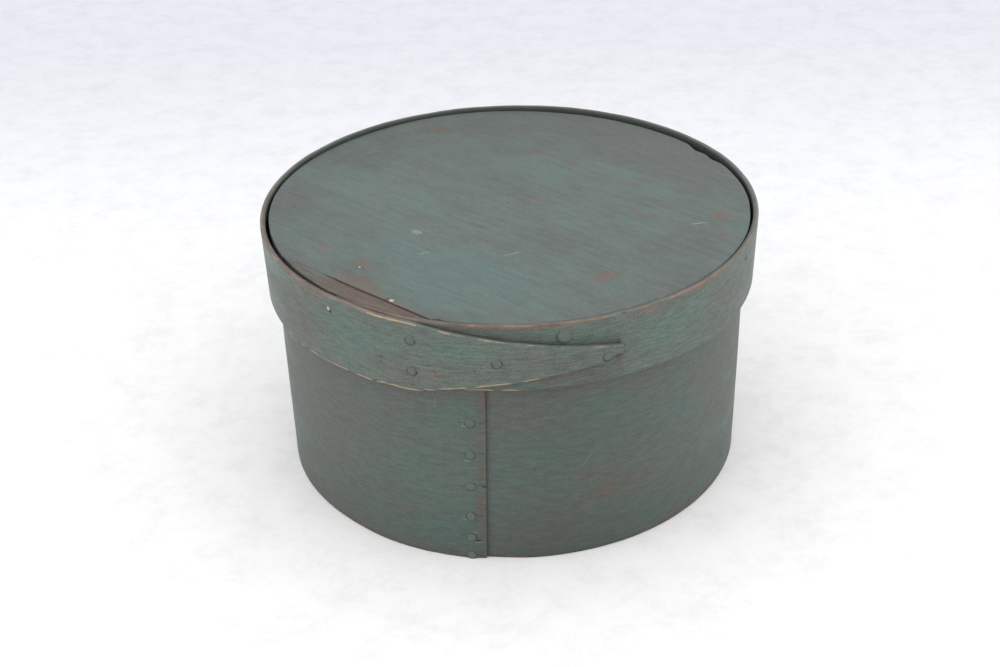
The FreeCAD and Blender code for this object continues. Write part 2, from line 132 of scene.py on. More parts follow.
@dataclass(frozen=True)
class Zone:
    """A soft oval place where one amount of ageing is higher or lower.

    Attributes:
        kind: Which amount changes.
        centre: Angle and height on a strip, or distances along and across the grain on a board.
        reach: How far it reaches in both directions.
        amount: How much is added at its centre.
    """

    kind: Age
    centre: Pair
    reach: Pair
    amount: float

    def share(self, first: Array, second: Array) -> Array:
        """What the zone adds at each place."""
        x = (first - self.centre[0]) / self.reach[0]
        y = (second - self.centre[1]) / self.reach[1]
        return self.amount * np.exp(-x ** 2 - y ** 2)


def spots(kind: Age, *rows: tuple[float, ...]) -> tuple[Zone, ...]:
    """Zones of one kind, each row holding its centre, its reach and its amount."""
    return tuple(Zone(kind, row[:2], row[2:4], row[4]) for row in rows)


class Ageing:
    """Amounts of ageing at every vertex of a piece."""

    def __init__(self, count: int) -> None:
        """Start with sound paint at every one of the vertices."""
        self.amounts = {kind: np.zeros(count) for kind in Age}
        self.amounts[Age.THIN] += 0.5

    def add(self, kind: Age, amount: Array | float) -> None:
        """Add to one amount."""
        self.amounts[kind] = self.amounts[kind] + amount

    def raise_to(self, kind: Age, amount: Array) -> None:
        """Raise one amount where it is lower than the one given."""
        self.amounts[kind] = np.maximum(self.amounts[kind], amount)

    def add_zones(self, zones: tuple[Zone, ...], first: Array, second: Array) -> None:
        """Add every zone."""
        for zone in zones:
            self.add(zone.kind, zone.share(first, second))

    def store(self, piece: Piece) -> None:
        """Write the amounts to a piece."""
        for kind, amount in self.amounts.items():
            attribute = piece.data.attributes.new(kind.value, "FLOAT", "POINT")
            attribute.data.foreach_set("value", np.clip(amount, 0, 1).astype(np.float32))


# Mesh work


def start_fresh() -> None:
    """Leave edit mode and deselect everything."""
    if bpy.context.mode != "OBJECT":
        bpy.ops.object.mode_set(mode="OBJECT")
    bpy.ops.object.select_all(action="DESELECT")


def take(piece: Piece) -> None:
    """Make a piece the only selected one."""
    start_fresh()
    piece.select_set(True)
    bpy.context.view_layer.objects.active = piece


def finish_modifier(piece: Piece, name: str, kind: str, **settings: object) -> None:
    """Add a modifier to a piece and apply it."""
    take(piece)
    modifier = piece.modifiers.new(name, kind)
    for setting, value in settings.items():
        setattr(modifier, setting, value)
    bpy.ops.object.modifier_apply(modifier=modifier.name)


def read(rows: bpy.types.bpy_prop_collection, what: str, width: int, kind: type = np.float32) -> Array:
    """Read one property of a mesh's vertices, corners or faces.

    Args:
        rows: The vertices, corners or faces.
        what: Name of the property.
        width: How many numbers it has.
        kind: Type of the numbers.

    Returns:
        The property, one row each.
    """
    found = np.empty(len(rows) * width, kind)
    rows.foreach_get(what, found)
    return found.reshape(-1, width)


def vertices(piece: Piece) -> Array:
    """The vertices of a piece, one row each."""
    return read(piece.data.vertices, "co", 3).astype(float)


def move_vertices(piece: Piece, places: Array) -> None:
    """Put the vertices of a piece at new places."""
    piece.data.vertices.foreach_set("co", places.astype(np.float32).ravel())
    piece.data.update()


def of_faces(piece: Piece, what: str) -> Array:
    """The normal or the center of each face of a piece, one row each."""
    return read(piece.data.polygons, what, 3)


def set_slots(piece: Piece, slots: Array) -> None:
    """Give each face of a piece its material slot."""
    piece.data.materials.clear()
    piece.data.polygons.foreach_set("material_index", slots.astype(np.int32))


def slab(name: str, length: float, width: float, thickness: float, columns: int, rows: int,
         rounding: float) -> Piece:
    """Model a flat board with rounded edges, one corner at the origin, in metres.

    Args:
        name: Name of the piece.
        length: Size along X in millimetres.
        width: Size along Y in millimetres.
        thickness: Size along Z in millimetres.
        columns: Faces along X.
        rows: Faces along Y.
        rounding: Width of the rounded edges in millimetres.

    Returns:
        The board.
    """
    start_fresh()
    bpy.ops.mesh.primitive_grid_add(x_subdivisions=columns, y_subdivisions=rows, size=1.0)
    piece = bpy.context.object
    piece.name = name
    bpy.ops.object.mode_set(mode="EDIT")
    bpy.ops.transform.resize(value=(length * MM, width * MM, 1))
    bpy.ops.transform.translate(value=(length * MM / 2, width * MM / 2, 0))
    bpy.ops.object.mode_set(mode="OBJECT")
    finish_modifier(piece, "Thickness", "SOLIDIFY", thickness=thickness * MM, offset=1.0)
    finish_modifier(piece, "Rounding", "BEVEL", width=rounding * MM, segments=2, limit_method="ANGLE",
                    angle_limit=math.radians(60))
    return piece


def store_grain(piece: Piece, along: Array, across: Array) -> None:
    """Store where each vertex lies along and across the grain, in millimetres, as a UV map in metres."""
    corners = read(piece.data.loops, "vertex_index", 1, np.int32)[:, 0]
    grain = piece.data.uv_layers.active
    grain.name = "Grain"
    places = np.stack((along, across), axis=1)[corners] * MM
    grain.data.foreach_set("uv", places.astype(np.float32).ravel())


def smooth(piece: Piece, limit: float = 35.0) -> None:
    """Smooth the shading of a piece across edges flatter than the limit, in degrees."""
    take(piece)
    bpy.ops.object.shade_smooth_by_angle(angle=math.radians(limit))


def turned(name: str, rings: list[Pair], sides: int) -> Piece:
    """Model a round form ring by ring from the wall outwards, along -Y, in metres.

    Args:
        name: Name of the piece.
        rings: Radius and height of each ring in millimetres, from the wall outwards.
        sides: Faces round the form.

    Returns:
        The form, closed at both ends.
    """
    start_fresh()
    radius, height = rings[0]
    bpy.ops.mesh.primitive_circle_add(vertices=sides, radius=radius * MM, fill_type="NGON",
                                      location=(0, -height * MM, 0), rotation=(math.pi / 2, 0, 0))
    piece = bpy.context.object
    piece.name = name
    bpy.ops.object.transform_apply(location=True, rotation=True, scale=True)
    bpy.ops.object.mode_set(mode="EDIT")
    for next_radius, next_height in rings[1:]:
        bpy.ops.mesh.extrude_region_move(
            TRANSFORM_OT_translate={"value": (0, (height - next_height) * MM, 0)})
        share = next_radius / radius
        bpy.ops.transform.resize(value=(share, 1, share), center_override=(0, -next_height * MM, 0))
        radius, height = next_radius, next_height
    bpy.ops.mesh.select_all(action="SELECT")
    bpy.ops.mesh.normals_make_consistent(inside=False)
    bpy.ops.object.mode_set(mode="OBJECT")
    return piece


def copy_of(piece: Piece, name: str) -> Piece:
    """A copy of a piece with its own mesh."""
    twin = piece.copy()
    twin.data = piece.data.copy()
    twin.name = name
    bpy.context.collection.objects.link(twin)
    return twin


def join(pieces: list[Piece], name: str) -> Piece:
    """Join pieces into one."""
    start_fresh()
    for piece in pieces:
        piece.select_set(True)
    bpy.context.view_layer.objects.active = pieces[0]
    bpy.ops.object.join()
    pieces[0].name = name
    return pieces[0]


# Materials


class Bench:
    """Sets out and links the nodes of one tree."""

    def __init__(self, tree: bpy.types.NodeTree) -> None:
        """Work on a tree."""
        self.tree = tree

    def node(self, kind: str, settings: dict[str, object] | None = None, **inputs: object) -> bpy.types.Node:
        """Add a node.

        Args:
            kind: Blender's name of the node type.
            settings: Properties of the node.
            **inputs: Values or sockets, by the input's name with underscores for spaces.

        Returns:
            The node.
        """
        node = self.tree.nodes.new(kind)
        for name, value in (settings or {}).items():
            setattr(node, name, value)
        for name, value in inputs.items():
            self.feed(node.inputs[name.replace("_", " ")], value)
        return node

    def feed(self, socket: Socket, value: object) -> None:
        """Link a socket to an input, or set the input's value."""
        if isinstance(value, Socket):
            self.tree.links.new(value, socket)
        else:
            socket.default_value = value

    def math(self, operation: str, first: object, second: object) -> Socket:
        """The result of a Math node."""
        node = self.node("ShaderNodeMath", {"operation": operation})
        self.feed(node.inputs[0], first)
        self.feed(node.inputs[1], second)
        return node.outputs[0]

    def times(self, first: object, second: object) -> Socket:
        """The product of two values."""
        return self.math("MULTIPLY", first, second)

    def plus(self, first: object, second: object) -> Socket:
        """The sum of two values."""
        return self.math("ADD", first, second)

    def minus(self, first: object, second: object) -> Socket:
        """The first value less the second."""
        return self.math("SUBTRACT", first, second)

    def blend(self, share: object, low: object, high: object, kind: str = "MIX") -> Socket:
        """A mix of two colours."""
        node = self.node("ShaderNodeMix", {"data_type": "RGBA", "blend_type": kind, "clamp_factor": True})
        for index, value in ((0, share), (6, low), (7, high)):
            self.feed(node.inputs[index], value)
        return node.outputs[2]

    def lay(self, colour: object, mask: Socket, strength: float, other: object) -> Socket:
        """A colour with another laid over it where the mask is, at a strength."""
        return self.blend(self.times(mask, strength), colour, other)

    def tint(self, colour: object, other: object) -> Socket:
        """The product of two colours."""
        return self.blend(1.0, colour, other, "MULTIPLY")

    def ramp(self, value: object, low: object, high: object, smallest: object = 0.0,
             largest: object = 1.0) -> Socket:
        """A smooth step from one value to another as the input goes from low to high."""
        node = self.node("ShaderNodeMapRange", {"interpolation_type": "SMOOTHSTEP"}, Value=value,
                         From_Min=low, From_Max=high, To_Min=smallest, To_Max=largest)
        return node.outputs[0]

    def sway(self, value: object, low: float, high: float, strength: float) -> Socket:
        """A factor that strays from 1 by the strength each way, as a value goes from low to high."""
        return self.ramp(value, low, high, 1 - strength, 1 + strength)

    def noise(self, vector: object, scale: float, detail: float = 3.0, roughness: float = 0.5) -> Socket:
        """The grey value of a noise texture."""
        return self.node("ShaderNodeTexNoise", {"normalize": True}, Vector=vector, Scale=scale, Detail=detail,
                         Roughness=roughness).outputs[0]

    def stretched(self, vector: object, along: object, across: object) -> Socket:
        """A vector scaled along the grain, across it and through the wood."""
        scale = self.node("ShaderNodeCombineXYZ", None, X=along, Y=across, Z=across).outputs[0]
        node = self.node("ShaderNodeVectorMath", {"operation": "MULTIPLY"})
        self.feed(node.inputs[0], vector)
        self.feed(node.inputs[1], scale)
        return node.outputs[0]

    def streaks(self, vector: object, along: object, across: object, detail: float,
                roughness: float) -> Socket:
        """Noise drawn out along the grain."""
        return self.noise(self.stretched(vector, along, across), 1.0, detail, roughness)

    def amount(self, kind: Age) -> Socket:
        """An amount of ageing that the mesh stores."""
        return self.node("ShaderNodeAttribute", {"attribute_name": kind.value}).outputs["Fac"]

    def finish(self, shader: bpy.types.Node, colour: Socket, roughness: Socket, height: Socket,
               depth: float) -> None:
        """Give a shader its colour, its roughness and bumps of a depth in metres."""
        bump = self.node("ShaderNodeBump", None, Strength=0.5, Distance=depth, Height=height)
        self.feed(shader.inputs["Base Color"], colour)
        self.feed(shader.inputs["Roughness"], roughness)
        self.feed(shader.inputs["Normal"], bump.outputs[0])


def new_material(name: str) -> tuple[bpy.types.Material, Bench, bpy.types.Node]:
    """A new material, its bench and its shader."""
    material = bpy.data.materials.new(name)
    material.use_nodes = True
    return material, Bench(material.node_tree), material.node_tree.nodes["Principled BSDF"]


class Effects:
    """Node groups shared by the finishes."""

    def __init__(self) -> None:
        """Build every group once."""
        self.grain = self._grain()
        self.patches = self._patches()
        self.ragged = self._ragged()
        self.flecks = self._flecks()
        self.mark = self._mark()

    @staticmethod
    def _group(name: str, vectors: tuple[str, ...], values: tuple[str, ...],
               outputs: tuple[str, ...] = ("Mask",)) -> tuple[Bench, dict[str, Socket], bpy.types.Node]:
        """Start a group with its sockets.

        Args:
            name: Name of the group.
            vectors: Names of the vectors that it takes.
            values: Names of the single values that it takes.
            outputs: Names of the values that it puts out.

        Returns:
            The bench, the inputs by name and the group's output node.
        """
        tree = bpy.data.node_groups.new(name, "ShaderNodeTree")
        for names, way, kind in ((vectors, "INPUT", "Vector"), (values, "INPUT", "Float"),
                                 (outputs, "OUTPUT", "Float")):
            for socket in names:
                tree.interface.new_socket(socket, in_out=way, socket_type=f"NodeSocket{kind}")
        entry = tree.nodes.new("NodeGroupInput")
        given = {socket: entry.outputs[socket] for socket in vectors + values}
        return Bench(tree), given, tree.nodes.new("NodeGroupOutput")

    def _grain(self) -> bpy.types.NodeTree:
        """Fine lines of wood grain, and short open pores among them."""
        bench, given, out = self._group("Wood grain", ("Vector",), ("Along", "Across"), ("Lines", "Pores"))
        along, across = given["Along"], given["Across"]
        drift = bench.node("ShaderNodeTexNoise", None, Vector=given["Vector"], Scale=9.0, Detail=1.0)
        bent = bench.node("ShaderNodeVectorMath", {"operation": "MULTIPLY_ADD"})
        for index, value in enumerate((drift.outputs[1], (0.0, 0.003, 0.0), given["Vector"])):
            bench.feed(bent.inputs[index], value)
        lines = bench.streaks(bent.outputs[0], along, across, 4.0, 0.6)
        dashes = bench.streaks(bent.outputs[0], bench.times(along, 3.2), bench.times(across, 1.7), 2.0, 0.5)
        bench.feed(out.inputs["Lines"], bench.ramp(lines, 0.3, 0.7))
        bench.feed(out.inputs["Pores"], bench.ramp(dashes, 0.56, 0.72))
        return bench.tree

    def _patches(self) -> bpy.types.NodeTree:
        """Soft islands, drawn out along the grain, that grow where the shift is above a half."""
        bench, given, out = self._group("Soft patches", ("Vector",), ("Along", "Across", "Shift"))
        islands = bench.streaks(given["Vector"], given["Along"], given["Across"], 5.0, 0.64)
        push = bench.times(bench.minus(given["Shift"], 0.5), 0.8)
        bench.feed(out.inputs["Mask"], bench.ramp(bench.plus(islands, push), 0.28, 0.72))
        return bench.tree

    def _ragged(self) -> bpy.types.NodeTree:
        """An amount broken up into ragged spots."""
        bench, given, out = self._group("Ragged spots", ("Vector",), ("Amount", "Along", "Across", "Break"))
        crumbs = bench.streaks(given["Vector"], given["Along"], given["Across"], 4.0, 0.65)
        shift = bench.times(bench.minus(crumbs, 0.5), given["Break"])
        bench.feed(out.inputs["Mask"], bench.ramp(bench.plus(given["Amount"], shift), 0.4, 0.64))
        return bench.tree

    def _flecks(self) -> bpy.types.NodeTree:
        """Sparse, small flecks."""
        bench, given, out = self._group("Flecks", ("Vector",), ("Scale", "Size", "Rarity"))
        cells = bench.node("ShaderNodeTexVoronoi", None, Vector=given["Vector"], Scale=given["Scale"])
        near = bench.math("LESS_THAN", cells.outputs["Distance"], given["Size"])
        chance = bench.node("ShaderNodeSeparateColor", None, Color=cells.outputs["Color"]).outputs[0]
        kept = bench.math("GREATER_THAN", chance, given["Rarity"])
        bench.feed(out.inputs["Mask"], bench.times(near, kept))
        return bench.tree

    def _mark(self) -> bpy.types.NodeTree:
        """One ragged oval mark at a place on the surface."""
        bench, given, out = self._group("Single mark", ("Vector", "Centre", "Turn", "Half Size"), ("Ragged",))
        local = bench.node("ShaderNodeMapping", {"vector_type": "TEXTURE"}, Vector=given["Vector"],
                           Location=given["Centre"], Rotation=given["Turn"], Scale=given["Half Size"])
        length = bench.node("ShaderNodeVectorMath", {"operation": "LENGTH"})
        bench.feed(length.inputs[0], local.outputs[0])
        size = bench.plus(length.outputs["Value"], given["Ragged"])
        bench.feed(out.inputs["Mask"], bench.ramp(size, 1.2, 0.7))
        return bench.tree

    @staticmethod
    def use(bench: Bench, group: bpy.types.NodeTree, output: str = "Mask", **inputs: object) -> Socket:
        """Place a group in a material.

        Args:
            bench: Where the group goes.
            group: The group.
            output: Which of its values is wanted.
            **inputs: Its inputs, with underscores for spaces.

        Returns:
            The value.
        """
        return bench.node("ShaderNodeGroup", {"node_tree": group}, **inputs).outputs[output]


class Pattern(Enum):
    """What a finish is laid out on."""

    STRIP = "strip"
    BOARD = "board"


@dataclass(frozen=True)
class Mark:
    """One small mark at a place on a surface.

    Attributes:
        place: Where it is along and across the grain, in millimetres.
        half_size: How far it reaches each way, in millimetres.
        colour: What shows there.
        strength: How strongly it shows.
        turn: Its angle to the grain in degrees.
    """

    place: Pair
    half_size: Pair
    colour: Colour
    strength: float = 1.0
    turn: float = 0.0


@dataclass(frozen=True)
class Finish:
    """What all wooden finishes share.

    Attributes:
        name: Name of the material.
        pattern: What it is laid out on.
        turn: Angle of the grain in degrees, on a board.
    """

    name: str
    pattern: Pattern
    turn: float = 0.0

    def start(self) -> tuple[bpy.types.Material, Bench, bpy.types.Node, Socket]:
        """Start a material.

        Returns:
            The material, its bench, its shader, and coordinates in metres with the grain along X.
        """
        material, bench, shader = new_material(self.name)
        if self.pattern is Pattern.STRIP:
            space = bench.node("ShaderNodeUVMap", {"uv_map": "Grain"}).outputs[0]
        else:
            place = bench.node("ShaderNodeTexCoord").outputs["Object"]
            space = bench.node("ShaderNodeMapping", None, Vector=place,
                               Rotation=(0.0, 0.0, math.radians(-self.turn))).outputs[0]
        return material, bench, shader, space


@dataclass(frozen=True)
class OldPaint(Finish):
    """Matte paint on bent or sawn wood, rubbed thin along the grain.

    Attributes:
        sound: Colour of the sound paint.
        thin: Colour where it is rubbed thin and dirty.
        fresh: Colour of the brightest, bluest patches.
        smear: Colour of small pale smears.
        rubbed: Colour of wood that shows through.
        old_wood: Colour of wood laid bare long ago.
        dark_wood: Colour of the darker lines in it.
        raw_wood_and_highlight: Colour of the freshest scars, and of painted highlights on edges.
        grime_and_shade: Colour of dirty corners, and of painted shade in recesses and gaps.
        grain: Scale of the grain lines along and across.
        line_strength: How strongly grain lines show.
        pore_strength: How strongly open pores show.
        speck_strength: How strongly fine specks show.
        red_strength: How strongly rubbed wood shows.
        cloud_strength: How strongly small clouds of lightness show.
        roughness: Roughness where the paint is sound and where it is thin.
        marks: Marks at known places.
    """

    sound: Colour = srgb(99, 114, 104)
    thin: Colour = srgb(103, 106, 100)
    fresh: Colour = srgb(91, 118, 109)
    smear: Colour = srgb(105, 123, 115)
    rubbed: Colour = srgb(124, 103, 90)
    old_wood: Colour = srgb(146, 117, 99)
    dark_wood: Colour = srgb(94, 80, 70)
    raw_wood_and_highlight: Colour = srgb(182, 156, 122)
    grime_and_shade: Colour = srgb(44, 46, 42)
    grain: Pair = (60.0, 700.0)
    line_strength: float = 0.10
    pore_strength: float = 0.12
    speck_strength: float = 0.18
    red_strength: float = 0.6
    cloud_strength: float = 0.08
    roughness: Pair = (0.4, 0.5)
    marks: tuple[Mark, ...] = ()

    def build(self, effects: Effects) -> bpy.types.Material:
        """Make the material."""
        material, bench, shader, space = self.start()
        lines, pores = (effects.use(bench, effects.grain, output, Vector=space, Along=self.grain[0],
                                    Across=self.grain[1]) for output in ("Lines", "Pores"))
        specks = bench.noise(space, 1100.0, 2.0, 0.7)
        clouds = bench.streaks(space, 150.0, 260.0, 4.0, 0.6)
        thin = effects.use(bench, effects.patches, Vector=space, Along=46.0, Across=70.0,
                           Shift=bench.amount(Age.THIN))
        colour = bench.blend(thin, self.sound, self.thin)
        fresh = effects.use(bench, effects.patches, Vector=space, Along=52.0, Across=110.0,
                            Shift=bench.minus(0.84, bench.amount(Age.THIN)))
        colour = bench.lay(colour, fresh, 0.55, self.fresh)
        shade = bench.times(bench.sway(lines, 0.0, 1.0, self.line_strength),
                            bench.sway(specks, 0.22, 0.78, self.speck_strength))
        shade = bench.times(shade, bench.ramp(pores, 0.0, 1.0, 1.0, 1 - 2 * self.pore_strength))
        shade = bench.times(shade, bench.sway(clouds, 0.25, 0.75, self.cloud_strength))
        colour = bench.tint(colour, shade)
        crumbs = bench.streaks(space, 150.0, 380.0, 4.0, 0.65)
        red = bench.plus(bench.times(bench.amount(Age.RED), 2.3), bench.times(bench.minus(crumbs, 0.5), 1.5))
        colour = bench.lay(colour, bench.ramp(red, 0.24, 1.0), self.red_strength,
                           bench.tint(self.rubbed, shade))
        for mark in self.marks:
            colour = self._marked(effects, bench, space, specks, mark, colour)
        pale = effects.use(bench, effects.flecks, Vector=space, Scale=95.0, Size=0.045, Rarity=0.95)
        colour = bench.lay(colour, pale, 0.35, srgb(166, 166, 156))
        smears = bench.ramp(bench.streaks(space, 110.0, 300.0, 3.0, 0.6), 0.63, 0.74)
        colour = bench.lay(colour, smears, 0.4, self.smear)
        worn = self._ragged(effects, bench, space, Age.WEAR, 90.0, 900.0, 1.3)
        colour = bench.lay(colour, worn, 0.8, bench.blend(lines, self.dark_wood, self.old_wood))
        # Freshly bared wood, and painted highlights, in one pale colour.
        raw_and_highlight = self._ragged(effects, bench, space, Age.RAW, 190.0, 900.0, 1.1)
        colour = bench.lay(colour, raw_and_highlight, 0.85, self.raw_wood_and_highlight)
        # Darken towards that colour where the mesh stores dirty places and painted shade.
        colour = bench.blend(bench.amount(Age.GRIME_AND_SHADE), colour, self.grime_and_shade)
        height = bench.minus(bench.times(lines, 0.4), bench.times(pores, 0.6))
        height = bench.minus(height, bench.times(worn, 0.8))
        bench.finish(shader, colour, bench.ramp(thin, 0.0, 1.0, *self.roughness), height, 0.00012)
        return material

    @staticmethod
    def _ragged(effects: Effects, bench: Bench, space: Socket, kind: Age, along: float, across: float,
                spread: float) -> Socket:
        """A stored amount broken up into spots."""
        return effects.use(bench, effects.ragged, Vector=space, Amount=bench.amount(kind), Along=along,
                           Across=across, Break=spread)

    @staticmethod
    def _marked(effects: Effects, bench: Bench, space: Socket, specks: Socket, mark: Mark,
                colour: Socket) -> Socket:
        """The colour with one mark on it."""
        ragged = bench.times(bench.minus(specks, 0.5), 1.4)
        mask = effects.use(bench, effects.mark, Vector=space, Centre=(*(c * MM for c in mark.place), 0.0),
                           Turn=(0.0, 0.0, math.radians(mark.turn)),
                           Half_Size=(*(c * MM for c in mark.half_size), 1000.0), Ragged=ragged)
        return bench.lay(colour, mask, mark.strength, mark.colour)


@dataclass(frozen=True)
class BareWood(Finish):
    """Unpainted wood, darkened with age.

    Attributes:
        early: Colour of the paler wood.
        late: Colour of the darker lines.
        stain: Colour of old stains.
        grime_and_shade: Colour of dirty places, and of painted shade in gaps.
        through: Scale of the grain across the board.
    """

    early: Colour = srgb(168, 138, 104)
    late: Colour = srgb(128, 99, 70)
    stain: Colour = srgb(102, 80, 58)
    grime_and_shade: Colour = srgb(48, 40, 32)
    through: float = 210.0

    def build(self, effects: Effects) -> bpy.types.Material:
        """Make the material."""
        material, bench, shader, space = self.start()
        lines = effects.use(bench, effects.grain, "Lines", Vector=space, Along=5.0, Across=self.through)
        pores = effects.use(bench, effects.grain, "Pores", Vector=space, Along=20.0, Across=560.0)
        stains = effects.use(bench, effects.patches, Vector=space, Along=12.0, Across=18.0, Shift=0.4)
        colour = bench.blend(lines, self.early, self.late)
        colour = bench.lay(colour, pores, 0.45, self.stain)
        colour = bench.lay(colour, stains, 0.55, self.stain)
        # Darkened where the mesh stores dirty places and painted shade.
        colour = bench.blend(bench.amount(Age.GRIME_AND_SHADE), colour, self.grime_and_shade)
        height = bench.minus(bench.times(lines, 0.6), pores)
        bench.finish(shader, colour, bench.ramp(stains, 0.0, 1.0, 0.72, 0.6), height, 0.00015)
        return material


@dataclass(frozen=True)
class TackIron:
    """Iron heads painted over with the wood, rubbed and rusty.

    Attributes:
        name: Name of the material.
        paint: Colour of the paint on them.
        metal: Colour where they are rubbed.
        rust: Colour of rust.
        bright: Colour of a pale head, worn bare, with a painted glint.
        groove: Colour of the dark ring round the head: dirty, and painted shade of the recess it sits in.
    """

    name: str
    paint: Colour = srgb(96, 111, 103)
    metal: Colour = srgb(100, 104, 97)
    rust: Colour = srgb(88, 74, 64)
    bright: Colour = srgb(186, 184, 168)
    groove: Colour = srgb(34, 40, 36)

    def build(self, effects: Effects) -> bpy.types.Material:
        """Make the material."""
        material, bench, shader = new_material(self.name)
        place = bench.node("ShaderNodeTexCoord").outputs["Object"]
        rubbed = effects.use(bench, effects.patches, Vector=place, Along=700.0, Across=700.0, Shift=0.5)
        rust = effects.use(bench, effects.patches, Vector=place, Along=1100.0, Across=900.0, Shift=0.3)
        colour = bench.blend(rubbed, self.paint, self.metal)
        colour = bench.lay(colour, rust, 0.5, self.rust)
        # A pale head where the mesh says so: worn bare, with a painted glint.
        colour = bench.blend(bench.amount(Age.RAW), colour, self.bright)
        # The ring round the head: dirty, and painted shade.
        colour = bench.blend(bench.amount(Age.GRIME_AND_SHADE), colour, self.groove)
        dents = bench.noise(place, 1500.0)
        bench.finish(shader, colour, bench.ramp(rubbed, 0.0, 1.0, 0.55, 0.42), dents, 0.0001)
        bench.feed(shader.inputs["Metallic"], bench.times(rubbed, 0.2))
        return material


# The bent strips


@dataclass(frozen=True)
class Station:
    """One angle of a strip and how far its faces lie from the round wall there.

    Attributes:
        angle: Angle round the box.
        outer: Offset of the outer face from the outside of the single wall, at the foot and at the top.
        inner: Offset of the inner face, at the foot and at the top.
    """

    angle: float
    outer: Pair
    inner: Pair


@dataclass(frozen=True)
class Skin:
    """Where each vertex of a strip lies.

    Attributes:
        angle: Angle along the strip, below -180 in the covered layer.
        height: Height.
        bottom: Height of the lower edge there.
        top: Height of the upper edge there.
        depth: 0 on the inner face and 1 on the outer one.
        from_end: Distance from the outer end.
    """

    angle: Array
    height: Array
    bottom: Array
    top: Array
    depth: Array
    from_end: Array


def both(value: float) -> Pair:
    """The same offset at the foot and at the top."""
    return value, value


@dataclass
class BentStrip:
    """A thin strip of wood bent round on itself, with one end lapped over the other.

    Attributes:
        name: Name of the piece.
        low: Height of its foot.
        high: Height of its top.
        low_radius: Outer radius of the single wall at the foot.
        high_radius: Outer radius of the single wall at the top.
        wall: Thickness of the single wall.
        cell: Size of a face along the strip.
        row: Size of a face across it.
        rounding: Rounding of its edges.
        paint_reach: How far the paint reaches down the inner face.
        seed: Start of the random numbers for its unevenness.
    """

    name: str
    low: float
    high: float
    low_radius: float
    high_radius: float
    wall: float
    cell: float
    row: float
    rounding: float = 0.5
    paint_reach: float = 0.0
    seed: int = 0

    def stations(self) -> list[Station]:
        """Stations from the outer end, backwards round the box, to the hidden inner end."""
        raise NotImplementedError

    def slant(self, height: Array) -> Array:
        """How far the ends are turned at a height, in degrees."""
        return np.zeros_like(height)

    def outline(self, angle: Array) -> tuple[Array, Array]:
        """Height of the lower and of the upper edge at each angle."""
        return np.full_like(angle, self.low), np.full_like(angle, self.high)

    def ageing(self, skin: Skin) -> Ageing:
        """Amounts of ageing at each vertex."""
        raise NotImplementedError

    def length(self) -> float:
        """Length of the whole strip."""
        stations = self.stations()
        return math.radians(stations[0].angle - stations[-1].angle) * (self.low_radius + self.high_radius) / 2

    def radius_at(self, share: Array | float) -> Array | float:
        """Outer radius of the single wall at a share of the height."""
        return self.low_radius + (self.high_radius - self.low_radius) * share

    def lean(self) -> float:
        """Slope of the wall in degrees, below zero where it opens upwards."""
        return -math.degrees(math.atan((self.high_radius - self.low_radius) / (self.high - self.low)))

    def mark(self, angle: float, height: float, half_size: Pair, colour: Colour, strength: float = 1.0,
             turn: float = 0.0) -> Mark:
        """A mark on the outer face, at an angle and a height."""
        stations = self.stations()
        share = (angle - stations[-1].angle) / (stations[0].angle - stations[-1].angle)
        return Mark((share * self.length(), height + self.wall), half_size, colour, strength, turn)

    def lap(self, angle: Array, share: Array) -> tuple[Array, Array]:
        """Offsets of the outer and the inner face at each angle and share of height."""
        stations = self.stations()
        outer = np.zeros_like(angle)
        inner = np.zeros_like(angle)
        for here, there in zip(stations, stations[1:]):
            inside = (angle <= here.angle) & (angle >= there.angle)
            run = ((here.angle - angle) / (here.angle - there.angle))[inside]
            eased = np.where(run < 0.5, 2 * run ** 2, 1 - 2 * (1 - run) ** 2)
            for total, start, end in ((outer, here.outer, there.outer), (inner, here.inner, there.inner)):
                first = start[0] + (start[1] - start[0]) * share[inside]
                last = end[0] + (end[1] - end[0]) * share[inside]
                total[inside] = first + (last - first) * eased
        return outer, inner

    def model(self) -> Piece:
        """Build the strip flat, shape its outline and bend it round.

        Returns:
            The strip in metres, with its ageing stored on it.
        """
        stations = self.stations()
        first, last = stations[-1].angle, stations[0].angle
        length = self.length()
        width = self.high - self.low
        piece = slab(self.name, length, width, self.wall, round(length / self.cell), round(width / self.row),
                     self.rounding)
        downward = of_faces(piece, "normal")[:, 2] < -0.7
        flat = vertices(piece) / MM
        angle = first + (last - first) * flat[:, 0] / length
        bottom, top = self.outline(angle)
        height = self._across(flat[:, 1], width, bottom, top)
        share = (height - self.low) / width
        outer, inner = self.lap(angle, share)
        depth = flat[:, 2] / self.wall
        radius = self.radius_at(share) + inner + (outer - inner) * depth + self._unevenness(angle, height)
        move_vertices(piece, around(angle + self.slant(height), radius, height))
        store_grain(piece, flat[:, 0], height + flat[:, 2])
        self.ageing(Skin(angle, height, bottom, top, depth, length - flat[:, 0])).store(piece)
        set_slots(piece, downward & (of_faces(piece, "center")[:, 2] < (self.high - self.paint_reach) * MM))
        smooth(piece)
        return piece

    def _across(self, flat: Array, width: float, bottom: Array, top: Array) -> Array:
        """Squeeze heights into the outline, but keep the rounding of both edges as it is."""
        margin = min(2 * self.rounding, width / 4)
        middle = (np.clip(flat, margin, width - margin) - margin) / (width - 2 * margin)
        return (bottom + np.minimum(flat, margin) + (top - bottom - 2 * margin) * middle
                + np.maximum(flat - (width - margin), 0))

    def _unevenness(self, angle: Array, height: Array) -> Array:
        """How far the surface strays in and out."""
        reach = np.radians(angle) * self.low_radius
        return Ripple(self.seed, 190.0, 55.0).at(reach, height) * 0.14


